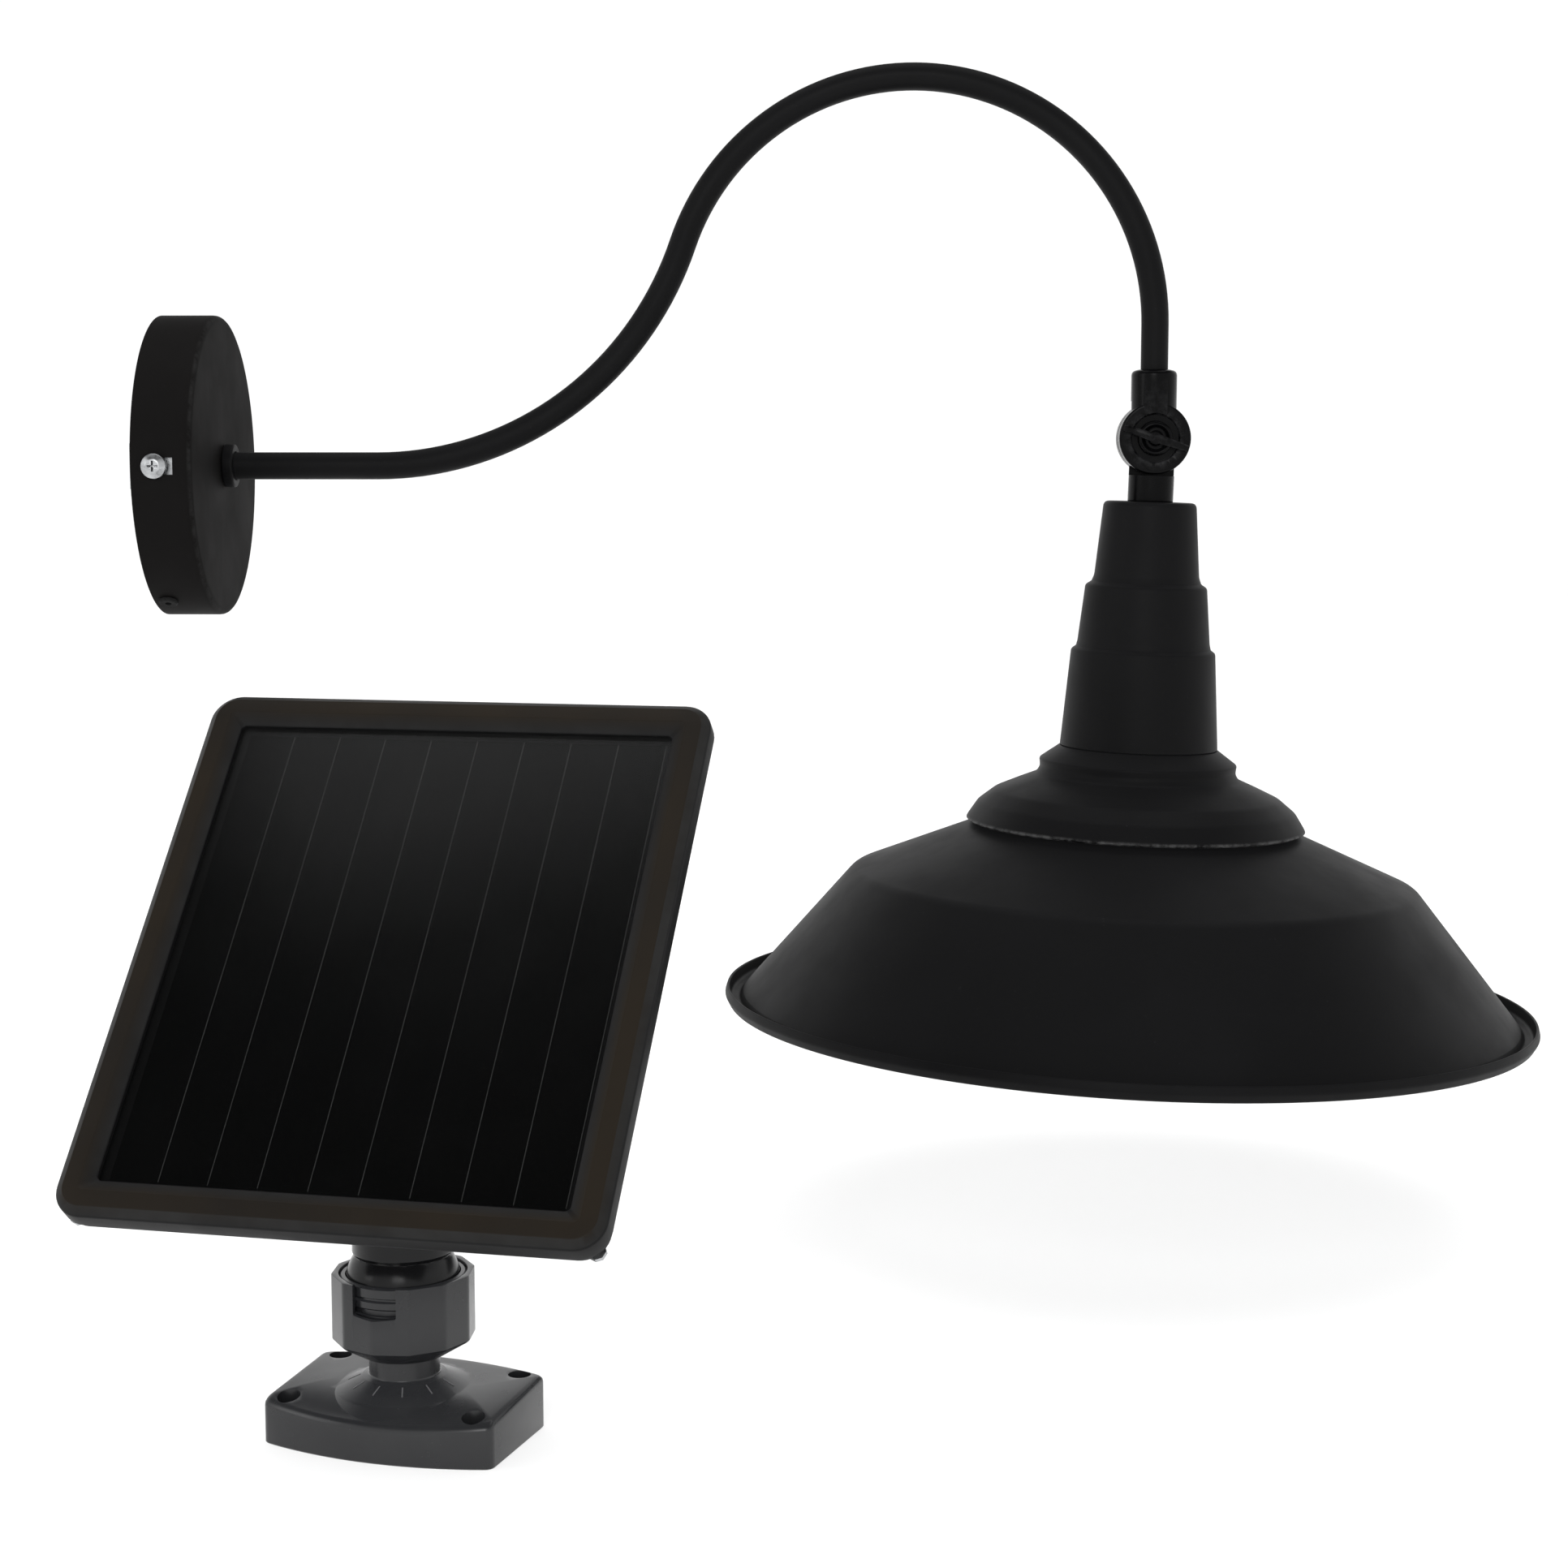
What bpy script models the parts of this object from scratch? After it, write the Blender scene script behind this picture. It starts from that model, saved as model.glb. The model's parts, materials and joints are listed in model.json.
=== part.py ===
"""Gooseneck barn-style wall lamp with a separate solar panel on a ball mount.

Metres, +Z up. The origin is the centre of the wall bracket's back, +X leads out of the wall.
The tables of sizes below are in millimetres and are scaled by MM when a mesh is made.
"""

import math

import bmesh
import bpy

MM = 0.001
GAP = 0.3  # clearance between touching pieces

# Wall unit
CANOPY_R, CANOPY_DEPTH, CANOPY_WALL = 55.0, 22.0, 1.0
SIDE_SCREW_X = 9.2
EAR_Y, EAR_T, EAR_REACH = 53.0, 2.0, 16.0
TUBE_R, TUBE_BORE = 5.0, 3.6
ARM_START_X, RISE_R, ARCH_R, ARCH_Z = 12.0, 120.0, 89.0, 51.5
GROMMET_X, GROMMET_TURN = 6.0, 152.0

# Knuckle and head. Heights named U are above the shade's rim.
PIVOT = (365.3, 0.0, 10.0)
HEAD_LEAN = 1.9
RIM_DROP = 211.5
SLEEVE_R, EAR_DISC_R = 8.35, 13.1
WING_TURN = 18.0
CONE_U, CONE_SLOPE, CONE_R = 66.0, 0.33, 62.6
CLAMP_SCREW_R, CLAMP_SCREW_COUNT = 31.2, 3
LED_COUNT, LED_RING_R = 12, 44.7

# Panel unit
BASE_AT, BASE_TURN = (122.0, -240.0, -284.0), -17.0
BALL_U, BALL_R, SOCKET_R, PAD_POCKET_R = 46.0, 17.0, 17.3, 18.4
BASE_W, BASE_D, BASE_BOW, CROWN_U, CROWN_R = 73.0, 39.0, 6.0, 16.0, 70.0
BASE_HOLES = (29.5, 16.5)
PAN, TILT = -12.4, -41.2
PANEL_W, PANEL_H, PANEL_R = 161.0, 179.0, 9.0
PANEL_BACK, PANEL_CENTRE = 61.6, 72.9
TRAY_BACK = -13.0
CELL_COUNT, CELL_PITCH, CELL_W, CELL_H = 9, 14.9, 14.5, 153.0
ARM_PAD_AT, ARM_PAD_SIZE, ARM_SCREWS = -18.0, (48.0, 42.0), (19.0, 15.0)
GLAND_AT = (38.0, 34.0, 0.0)


# Scene and materials

def clear_scene():
    for obj in list(bpy.data.objects):
        bpy.data.objects.remove(obj, do_unlink=True)


def paint(obj, colour, roughness, metallic=0.0, alpha=1.0):
    mat = bpy.data.materials.new(obj.name)
    mat.use_nodes = True
    shader = mat.node_tree.nodes["Principled BSDF"]
    shader.inputs["Base Color"].default_value = (*colour, 1.0)
    shader.inputs["Roughness"].default_value = roughness
    shader.inputs["Metallic"].default_value = metallic
    shader.inputs["Alpha"].default_value = alpha
    obj.data.materials.append(mat)
    return obj


BLACK_PAINT = ((0.012, 0.012, 0.013), 0.45, 0.0)
ZINC = ((0.62, 0.63, 0.65), 0.3, 1.0)
BLACK_METAL = ((0.02, 0.02, 0.02), 0.4, 0.6)
PANEL_PLASTIC = ((0.014, 0.013, 0.013), 0.42, 0.0)
MOUNT_PLASTIC = ((0.065, 0.066, 0.07), 0.38, 0.0)
BALL_PLASTIC = ((0.012, 0.012, 0.013), 0.22, 0.0)
RUBBER = ((0.015, 0.015, 0.015), 0.8, 0.0)
CELL = ((0.006, 0.007, 0.010), 0.2, 0.0)
BOARD = ((0.02, 0.14, 0.06), 0.5, 0.0)
WHITE = ((0.8, 0.8, 0.78), 0.4, 0.0)


def frame_empty(name, at=(0, 0, 0), turn=(0, 0, 0), parent=None):
    empty = bpy.data.objects.new(name, None)
    bpy.context.scene.collection.objects.link(empty)
    return place(empty, at, turn, parent)


def place(obj, at=(0, 0, 0), turn=(0, 0, 0), parent=None):
    obj.location = [c * MM for c in at]
    obj.rotation_euler = [math.radians(a) for a in turn]
    obj.parent = parent
    return obj


# Shapes

def solid(name, verts, faces, parent=None, at=(0, 0, 0), turn=(0, 0, 0), smooth=True):
    mesh = bpy.data.meshes.new(name)
    mesh.from_pydata([[c * MM for c in v] for v in verts], [], faces)
    bm = bmesh.new()
    bm.from_mesh(mesh)
    bmesh.ops.recalc_face_normals(bm, faces=bm.faces)
    bm.to_mesh(mesh)
    bm.free()
    if smooth:
        mesh.polygons.foreach_set("use_smooth", [True] * len(mesh.polygons))
        mesh.set_sharp_from_angle(angle=math.radians(35))
    obj = bpy.data.objects.new(name, mesh)
    bpy.context.scene.collection.objects.link(obj)
    return place(obj, at, turn, parent)


def loft(name, loops, ring=False, **where):
    """Joins loops of equally many points. A ring closes on itself, anything else gets end caps."""
    count = len(loops[0])
    verts = [point for loop in loops for point in loop]
    pairs = [(i, i + 1) for i in range(len(loops) - 1)] + ([(len(loops) - 1, 0)] if ring else [])
    faces = []
    for a, b in pairs:
        for i in range(count):
            j = (i + 1) % count
            faces.append((a * count + i, a * count + j, b * count + j, b * count + i))
    if not ring:
        faces.append(tuple(range(count)))
        faces.append(tuple(range((len(loops) - 1) * count, len(loops) * count)))
    return solid(name, verts, faces, **where)


def lathe(name, profile, segments, ring=False, **where):
    """Turns (radius, height) points about local Z. A point with radius 0 lies on the axis."""
    flat_start = not ring and profile[0][0] == 0 and profile[0][1] == profile[1][1]
    flat_end = not ring and profile[-1][0] == 0 and profile[-1][1] == profile[-2][1]
    verts, rounds, faces = [], [], []
    for radius, height in profile[flat_start:len(profile) - flat_end]:
        steps = segments if radius > 0 else 1
        rounds.append(range(len(verts), len(verts) + steps))
        for i in range(steps):
            angle = 2 * math.pi * i / segments
            verts.append((radius * math.cos(angle), radius * math.sin(angle), height))
    for a, b in zip(rounds, rounds[1:] + rounds[:1] if ring else rounds[1:]):
        for i in range(segments):
            j = (i + 1) % segments
            if len(a) == 1:
                faces.append((a[0], b[i], b[j]))
            elif len(b) == 1:
                faces.append((a[i], a[j], b[0]))
            else:
                faces.append((a[i], a[j], b[j], b[i]))
    if flat_start:
        faces.append(tuple(rounds[0]))
    if flat_end:
        faces.append(tuple(rounds[-1]))
    return solid(name, verts, faces, **where)


def circle_loop(radius, height, count):
    angles = [2 * math.pi * i / count for i in range(count)]
    return [(radius * math.cos(a), radius * math.sin(a), height) for a in angles]


def flats_loop(apothem, sides, height, count):
    step = 2 * math.pi / sides
    loop = []
    for i in range(count):
        angle = 2 * math.pi * i / count
        radius = apothem / math.cos(angle % step - step / 2)
        loop.append((radius * math.cos(angle), radius * math.sin(angle), height))
    return loop


def rounded_rect(width, depth, radius, height, steps=4):
    loop = []
    corners = ((1, 1, 0), (-1, 1, 90), (-1, -1, 180), (1, -1, 270))
    for sx, sy, start in corners:
        for i in range(steps + 1):
            angle = math.radians(start + 90 * i / steps)
            loop.append((sx * (width / 2 - radius) + radius * math.cos(angle),
                         sy * (depth / 2 - radius) + radius * math.sin(angle), height))
    return loop


def hex_nut(name, across, bore, low, high, **where):
    loops = [flats_loop(across / 2, 6, low, 18), flats_loop(across / 2, 6, high, 18),
             circle_loop(bore, high, 18), circle_loop(bore, low, 18)]
    return loft(name, loops, ring=True, **where)


def box(name, low, high, **where):
    loops = [[(low[0], low[1], z), (high[0], low[1], z), (high[0], high[1], z), (low[0], high[1], z)]
             for z in (low[2], high[2])]
    return loft(name, loops, smooth=False, **where)


def combine(target, tool, operation):
    tool.hide_render = True
    tool.display_type = "WIRE"
    change = target.modifiers.new(tool.name, "BOOLEAN")
    change.operation = operation
    change.solver = "EXACT"
    change.object = tool
    return target


def cut(target, tool):
    return combine(target, tool, "DIFFERENCE")


def join(target, tool):
    return combine(target, tool, "UNION")


# Wall unit

def wall_bracket():
    outline = [(0, -EAR_Y), (EAR_REACH, -EAR_Y), (EAR_REACH, EAR_T - EAR_Y), (2, EAR_T - EAR_Y),
               (2, EAR_Y - EAR_T), (EAR_REACH, EAR_Y - EAR_T), (EAR_REACH, EAR_Y), (0, EAR_Y)]
    strap = loft("wall_bracket", [[(x, y, z) for x, y in outline] for z in (-8, 8)], smooth=False)
    for side in (-1, 1):
        slot = [rounded_rect(5, 16, 2.4, z) for z in (-3, 5)]
        cut(strap, loft(f"bracket_slot_{side}", slot, at=(0, 30 * side, 0), turn=(0, 90, 0)))
    hole = lathe("ear_holes", [(0, -60), (2.6, -60), (2.6, 60), (0, 60)], 20,
                 at=(SIDE_SCREW_X, 0, 0), turn=(90, 0, 0))
    return paint(cut(strap, hole), *ZINC)


def canopy_cup():
    r, d, t = CANOPY_R, CANOPY_DEPTH, CANOPY_WALL
    profile = [(r, 0.5), (r, d - 3), (r - 0.8, d - 1), (r - 3, d),
               (5.4, d), (5.4, d - t), (r - 3.2, d - t), (r - t, d - 3.4), (r - t, 0.5)]
    cup = lathe("canopy_cup", profile, 40, ring=True, turn=(0, 90, 0))
    cut(cup, box("canopy_slots", (6.5, -60, -3), (15.5, 60, 3)))
    cut(cup, lathe("grommet_hole", [(0, 50), (2.6, 50), (2.6, 60), (0, 60)], 16,
                   at=(GROMMET_X, 0, 0), turn=(GROMMET_TURN, 0, 0)))
    return paint(cup, *BLACK_PAINT)


def canopy_screw(name, side):
    turn = (90 * side, 0, 0)
    profile = [(0, 48), (2.2, 48), (2.2, 55.4), (4.5, 55.4),
               (4.5, 56.5), (3.7, 57.7), (2.2, 58.2), (0, 58.3)]
    screw = lathe(name, profile, 16, at=(SIDE_SCREW_X, 0, 0), turn=turn)
    arm, half = 2.3, 0.45
    cross = [(arm, -half), (arm, half), (half, half), (half, arm), (-half, arm), (-half, half),
             (-arm, half), (-arm, -half), (-half, -half), (-half, -arm), (half, -arm), (half, -half)]
    recess = loft(f"{name}_recess", [[(x, y, z) for x, y in cross] for z in (56.6, 60)],
                  at=(SIDE_SCREW_X, 0, 0), turn=turn, smooth=False)
    return paint(cut(screw, recess), *ZINC)


def arm_fittings():
    face, back = CANOPY_DEPTH, CANOPY_DEPTH - CANOPY_WALL
    ring = [(5.3, face + GAP), (7.9, face + GAP), (7.9, face + 3.6), (7.3, face + 4.2), (5.3, face + 4.2)]
    paint(lathe("arm_lock_ring", ring, 20, ring=True, turn=(0, 90, 0)), *BLACK_METAL)
    washer = [(5.3, back - 1.3), (8.8, back - 1.3), (8.8, back - GAP), (5.3, back - GAP)]
    paint(lathe("arm_washer", washer, 20, ring=True, turn=(0, 90, 0)), *ZINC)
    paint(hex_nut("arm_back_nut", 14, 5.3, back - 5.8, back - 1.6, turn=(0, 90, 0)), *ZINC)


def cable_grommet():
    profile = [(1.2, 52.4), (3.2, 52.4), (3.2, 53.5), (2.2, 53.5), (2.2, 55.3),
               (3.6, 55.3), (3.6, 56.0), (3.0, 56.4), (1.2, 56.4)]
    grommet = lathe("cable_grommet", profile, 10, ring=True,
                    at=(GROMMET_X, 0, 0), turn=(GROMMET_TURN, 0, 0))
    return paint(grommet, *RUBBER)


def arm_stations():
    """(x, z, heading) along the gooseneck: straight, rising bend, arch over the lamp, straight down."""
    reach = math.sqrt((RISE_R + ARCH_R) ** 2 - (RISE_R - ARCH_Z) ** 2)
    arch_x = PIVOT[0] - ARCH_R
    rise_x = arch_x - reach
    sweep = math.atan2(reach, RISE_R - ARCH_Z)
    stations = [(ARM_START_X, 0.0, 0.0), (CANOPY_DEPTH + 20, 0.0, 0.0)]
    for i in range(7):
        heading = sweep * i / 6
        stations.append((rise_x + RISE_R * math.sin(heading), RISE_R * (1 - math.cos(heading)), heading))
    for i in range(1, 17):
        heading = sweep - (sweep + math.pi / 2) * i / 16
        stations.append((arch_x - ARCH_R * math.sin(heading), ARCH_Z + ARCH_R * math.cos(heading), heading))
    stations.append((PIVOT[0], PIVOT[2] + 16, -math.pi / 2))
    return stations


def gooseneck_arm():
    def rounds(radius, stations):
        loops = []
        for x, z, heading in stations:
            loop = circle_loop(radius, 0, 12)
            loops.append([(x - b * math.sin(heading), a, z + b * math.cos(heading)) for a, b, _ in loop])
        return loops
    stations = arm_stations()
    loops = rounds(TUBE_R, stations) + rounds(TUBE_BORE, stations[::-1])
    return paint(loft("gooseneck_arm", loops, ring=True), *BLACK_PAINT)


# Knuckle

def ear_disc(name, side, **where):
    section = [(0, 0.25), (12.6, 0.25), (EAR_DISC_R, 0.8), (EAR_DISC_R, 6.2), (12.2, 7.2), (0, 7.2)]
    profile = [(radius, side * height) for radius, height in section]
    return lathe(name, profile, 26, turn=(90, 0, 0), **where)


def knuckle_upper():
    profile = [(0, 0), (SLEEVE_R, 0), (SLEEVE_R, 21.5), (7.9, 23.6),
               (6.9, 24.7), (5.3, 25.2), (5.3, 15.6), (0, 15.6)]
    sleeve = lathe("knuckle_upper", profile, 20, at=PIVOT)
    cut(sleeve, box("upper_relief", (-20, -0.9, -20), (20, 20, 13.6), at=PIVOT))
    join(sleeve, ear_disc("upper_ear", 1, at=PIVOT))
    turn = (90, 0, 0)
    bore = lathe("upper_ear_bore", [(0, -20), (2.8, -20), (2.8, 20), (0, 20)], 14, at=PIVOT, turn=turn)
    section = [(0, 5.7), (5.6, 5.7), (6.6, 6.7), (8.7, 6.7), (9.1, 7.2), (10.5, 20), (0, 20)]
    dish = lathe("upper_ear_dish", section, 24, at=PIVOT, turn=turn)
    return paint(cut(cut(sleeve, bore), dish), *BLACK_PAINT)


def knuckle_lower(head):
    profile = [(0, 0), (SLEEVE_R, 0), (SLEEVE_R, -23.0), (7.9, -23.5), (5.0, -23.5),
               (5.0, -40), (3.2, -40), (3.2, -20), (0, -20)]
    stub = lathe("knuckle_lower", profile, 20, parent=head)
    cut(stub, box("lower_relief", (-20, -20, -13.6), (20, 0.9, 20), parent=head))
    join(stub, ear_disc("lower_ear", -1, parent=head))
    turn = (90, 0, 0)
    bore = lathe("lower_ear_bore", [(0, -20), (2.8, -20), (2.8, 20), (0, 20)], 14, parent=head, turn=turn)
    pocket = [(0, -20), (7.4, -20), (7.4, -7.2), (0, -7.2)]
    seat = lathe("lower_ear_seat", pocket, 20, parent=head, turn=turn)
    return paint(cut(cut(stub, bore), seat), *BLACK_PAINT)


def knuckle_screw():
    turn = (90, WING_TURN, 0)
    profile = [(0, -13.5), (2.5, -13.5), (2.5, 6.0), (5.0, 6.0), (5.0, 9.4), (0, 9.4)]
    screw = lathe("knuckle_thumb_screw", profile, 16, at=PIVOT, turn=turn)
    wing = [(-12.4, 8.8), (12.4, 8.8), (12.0, 9.8), (6.0, 12.2), (-6.0, 12.2), (-12.0, 9.8)]
    blade = loft("thumb_wing", [[(x, y, z) for x, z in wing] for y in (-1.7, 1.7)],
                 at=PIVOT, turn=turn, smooth=False)
    paint(join(screw, blade), *BLACK_METAL)
    paint(hex_nut("knuckle_nut", 8.6, 2.8, -11.6, -7.5, at=PIVOT, turn=(90, 0, 0)), *BLACK_METAL)


# Lamp head, heights measured from the rim

def neck_cover(rim):
    profile = [(5.4, 187.7), (15.6, 187.7), (16.7, 187.0), (17.1, 185.6), (19.3, 158.0), (21.4, 156.9),
               (22.6, 155.6), (24.3, 134.2), (25.8, 133.1), (26.5, 131.6), (28.7, 97.6), (27.0, 97.6),
               (24.9, 129.8), (22.8, 132.6), (21.2, 153.4), (17.8, 156.2), (15.2, 186.0), (5.4, 186.0)]
    return paint(lathe("neck_cover", profile, 28, ring=True, parent=rim), *BLACK_PAINT)


def cone_top(radius):
    return CONE_U + CONE_SLOPE * (CONE_R - radius)


def shade_cap(rim):
    profile = [(22.0, 97.2), (29.1, 97.2), (36.0, 91.8), (36.4, 91.0), (35.9, 88.4), (37.0, 86.4),
               (40.0, 84.6), (51.0, 80.0), (56.5, 76.8), (60.4, 73.4), (62.6, 68.6), (62.0, 66.9),
               (61.3, 66.9), (58.9, 72.6), (46.0, 80.4), (36.5, 82.6), (36.5, cone_top(36.5) + GAP),
               (26.0, cone_top(26.0) + GAP), (26.0, 95.6), (22.0, 95.6)]
    cap = lathe("shade_cap", profile, 32, ring=True, parent=rim)
    return paint(cut_clamp_holes(cap, rim, 2.3, 89.0), *BLACK_PAINT)


def clamp_angles():
    return [93 + 360 * i / CLAMP_SCREW_COUNT for i in range(CLAMP_SCREW_COUNT)]


def clamp_spot(angle):
    turn = math.radians(angle)
    return (CLAMP_SCREW_R * math.cos(turn), CLAMP_SCREW_R * math.sin(turn), 0)


def cut_clamp_holes(target, rim, radius, top):
    for i, angle in enumerate(clamp_angles(), 1):
        profile = [(0, 40), (radius, 40), (radius, top), (0, top)]
        cut(target, lathe(f"{target.name}_hole_{i}", profile, 12, parent=rim, at=clamp_spot(angle),
                          turn=(0, 0, 5)))
    return target


def shade(rim):
    top, wall = cone_top(24.0), 1.0
    profile = [(24.0, top), (CONE_R, CONE_U), (98.6, 50.9), (102.8, 48.7), (105.8, 46.5),
               (108.4, 43.4), (144.2, 0.9), (145.4, -0.8), (147.0, -1.5), (148.6, -0.9), (149.5, 0.6),
               (149.5, 2.6), (150.1, 3.1), (151.0, 0.9), (150.2, -1.5), (148.0, -2.9), (145.4, -2.6),
               (143.2, -0.2), (107.4, 42.6), (104.9, 45.5), (98.2, 49.8),
               (CONE_R, CONE_U - wall), (24.0, top - wall)]
    bell = lathe("shade", profile, 48, ring=True, parent=rim)
    return paint(cut_clamp_holes(bell, rim, 2.3, 95.0), *BLACK_PAINT)


def neck_internals(rim):
    paint(hex_nut("stem_nut", 14, 5.3, 181.2, 185.6, parent=rim), *ZINC)
    tube = [(0, 99.4), (11.2, 99.4), (11.2, 168), (9.6, 168), (9.6, 101.0), (0, 101.0)]
    paint(lathe("battery_holder", tube, 16, parent=rim), *BALL_PLASTIC)
    cell = [(0, 101.4), (8.6, 101.4), (9.2, 102.0), (9.2, 164.4), (8.4, 165.2), (3.2, 165.2),
            (3.0, 166.2), (0, 166.2)]
    paint(lathe("battery_cell", cell, 16, parent=rim), (0.06, 0.16, 0.32), 0.35)
    board = lathe("control_board", [(0, 97.5), (24.4, 97.5), (24.4, 99.1), (0, 99.1)], 24, parent=rim)
    blocks = (((13.5, -5, 98.5), (20.5, 4, 104)), ((-19, -6, 98.5), (-13, 7, 101.5)),
              ((-5, 14, 98.5), (6, 20, 106)))
    for i, (low, high) in enumerate(blocks, 1):
        join(board, box(f"board_block_{i}", low, high, parent=rim))
    paint(board, *BOARD)


def light_module(rim):
    boss_out, boss_in = cone_top(36.5) - 1.0 - GAP, cone_top(26.0) - 1.0 - GAP
    profile = [(26, boss_in), (36.5, boss_out), (36.5, 63.5), (57, 63.5), (58, 62.5), (58, 50),
               (56, 50), (56, 61.5), (26, 61.5)]
    housing = lathe("module_housing", profile, 32, ring=True, parent=rim)
    paint(cut_clamp_holes(housing, rim, 2.3, 95.0), *BLACK_PAINT)
    for i, angle in enumerate(clamp_angles(), 1):
        shank = [(0, 58.6), (3.3, 58.6), (3.8, 59.2), (3.8, 61.2), (2.0, 61.2), (2.0, 88), (0, 88)]
        paint(lathe(f"module_screw_{i}", shank, 10, parent=rim, at=clamp_spot(angle)), *ZINC)
    board = lathe("led_board", [(0, 59.6), (55.4, 59.6), (55.4, 61.2), (0, 61.2)], 32, parent=rim)
    paint(cut_clamp_holes(board, rim, 4.4, 95.0), (0.75, 0.76, 0.74), 0.45)
    strip = [(39.5, 58.9), (50, 58.9), (50, 59.3), (39.5, 59.3)]
    array = lathe("led_array", strip, 24, ring=True, parent=rim)
    for i in range(LED_COUNT):
        chip = box(f"led_chip_{i + 1}", (LED_RING_R - 1.7, -1.7, 57.9), (LED_RING_R + 1.7, 1.7, 59.1),
                   parent=rim, turn=(0, 0, 360 * i / LED_COUNT))
        join(array, chip)
    paint(array, (0.85, 0.75, 0.3), 0.5)
    cone = [(51.6, 59.2), (52.6, 59.2), (55.6, 53.4), (54.6, 53.4)]
    paint(lathe("reflector", cone, 28, ring=True, parent=rim), *WHITE)
    lens = [(9.2, 51.0), (55.5, 51.0), (55.5, 52.8), (9.2, 52.8)]
    paint(lathe("diffuser_lens", lens, 32, ring=True, parent=rim), (0.85, 0.86, 0.86), 0.35)
    ring = [(51, 48.2), (58, 48.2), (58, 49.7), (55.5, 49.7), (55.5, 50.7), (51, 50.7)]
    paint(lathe("lens_ring", ring, 32, ring=True, parent=rim), *BLACK_PAINT)


def power_button(rim):
    sleeve = [(5.3, 50.4), (8.8, 50.4), (8.8, 57.8), (11, 57.8),
              (11, 59.3), (6.3, 59.3), (6.3, 51.4), (5.3, 51.4)]
    paint(lathe("button_sleeve", sleeve, 18, ring=True, parent=rim), *WHITE)
    button = [(0, 48.9), (4.5, 48.9), (5.0, 49.4), (5.0, 51.7), (6.0, 51.7), (6.0, 56.5), (0, 56.5)]
    paint(lathe("power_button", button, 16, parent=rim), *RUBBER)


# Panel unit

def bowed_outline(height):
    """The base in plan: straight ends, long sides bowed outwards, small corner radii."""
    half_w, half_d, steps = BASE_W / 2, BASE_D / 2, 8
    side = []
    for i in range(steps + 1):
        x = -half_w + 1.2 + (BASE_W - 2.4) * i / steps
        side.append((x, -half_d - BASE_BOW * (1 - (x / half_w) ** 2)))
    side = [(-half_w, -half_d + 1.2)] + side + [(half_w, -half_d + 1.2)]
    return [(x, y, height) for x, y in side] + [(-x, -y, height) for x, y in side]


def panel_base():
    foot = frame_empty("panel_foot", BASE_AT, (0, 0, BASE_TURN))
    block = loft("panel_base", [bowed_outline(0), bowed_outline(CROWN_U + 1)], parent=foot)
    arc = [(CROWN_R * math.sin(a), CROWN_U - CROWN_R + CROWN_R * math.cos(a))
           for a in (math.radians(-30 + 5 * i) for i in range(7))]
    section = [(arc[0][0], -10.0)] + arc + [(BASE_D, CROWN_U), (BASE_D, -10.0)]
    crown = loft("base_crown", [[(x, y, z) for y, z in section] for x in (-50, 50)], parent=foot)
    combine(block, crown, "INTERSECT")
    cup = [(0, 6), (21, 6), (21, 12.6), (12.4, 18.4), (10.4, 18.8), (10.4, 28.0), (17.8, 34.5), (17.8, 41.0)]
    socket = [(SOCKET_R, a) for a in (73.2, 62, 53, 45)] + [(PAD_POCKET_R, a) for a in (45, 33, 22, 11, 0)]
    cup += [(r * math.sin(math.radians(a)), BALL_U - r * math.cos(math.radians(a))) for r, a in socket]
    join(block, lathe("base_neck", cup, 24, parent=foot))
    a, b = BASE_HOLES
    for i, (x, y) in enumerate(((-a, -b), (a, -b), (-a, b), (a, b)), 1):
        hole = [(0, -5), (2.2, -5), (2.2, 8.0), (3.4, 8.6), (3.4, 30), (0, 30)]
        cut(block, lathe(f"base_hole_{i}", hole, 12, parent=foot, at=(x, y, 0)))
    paint(block, *MOUNT_PLASTIC)
    return foot


def clamp_collar(foot):
    loops = [flats_loop(20.3, 12, 50, 36), flats_loop(20.3, 12, 30.2, 36), circle_loop(13.0, 25.6, 36),
             circle_loop(11.0, 25.6, 36), circle_loop(11.0, 27.0, 36), circle_loop(18.8, 33.9, 36),
             circle_loop(18.8, 50, 36)]
    collar = loft("clamp_collar", loops, ring=True, parent=foot)
    cut(collar, box("collar_notches", (-6.8, -40, 40.8), (6.8, 40, 55), parent=foot))
    return paint(collar, *MOUNT_PLASTIC)


def ball_seat(foot):
    def bore(height):
        return math.sqrt(SOCKET_R ** 2 - (height - BALL_U) ** 2)
    profile = [(18.5, 41.4), (18.5, 43.2), (17.95, 43.6), (17.95, 44.6), (18.5, 45.0), (18.5, 46.6),
               (17.95, 47.0), (17.95, 48.0), (18.5, 48.4), (18.5, 49.1), (18.0, 49.6)]
    profile += [(bore(h), h) for h in (49.6, 48.0, 46.0, 44.0, 41.4)]
    paint(lathe("ball_collet", profile, 24, ring=True, parent=foot), *MOUNT_PLASTIC)
    shell = [(18.1, a) for a in (0, 7, 14, 21)] + [(17.35, a) for a in (21, 14, 7, 0)]
    profile = [(r * math.sin(math.radians(a)), BALL_U - r * math.cos(math.radians(a))) for r, a in shell]
    paint(lathe("ball_pad", profile, 16, parent=foot), *RUBBER)


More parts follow.
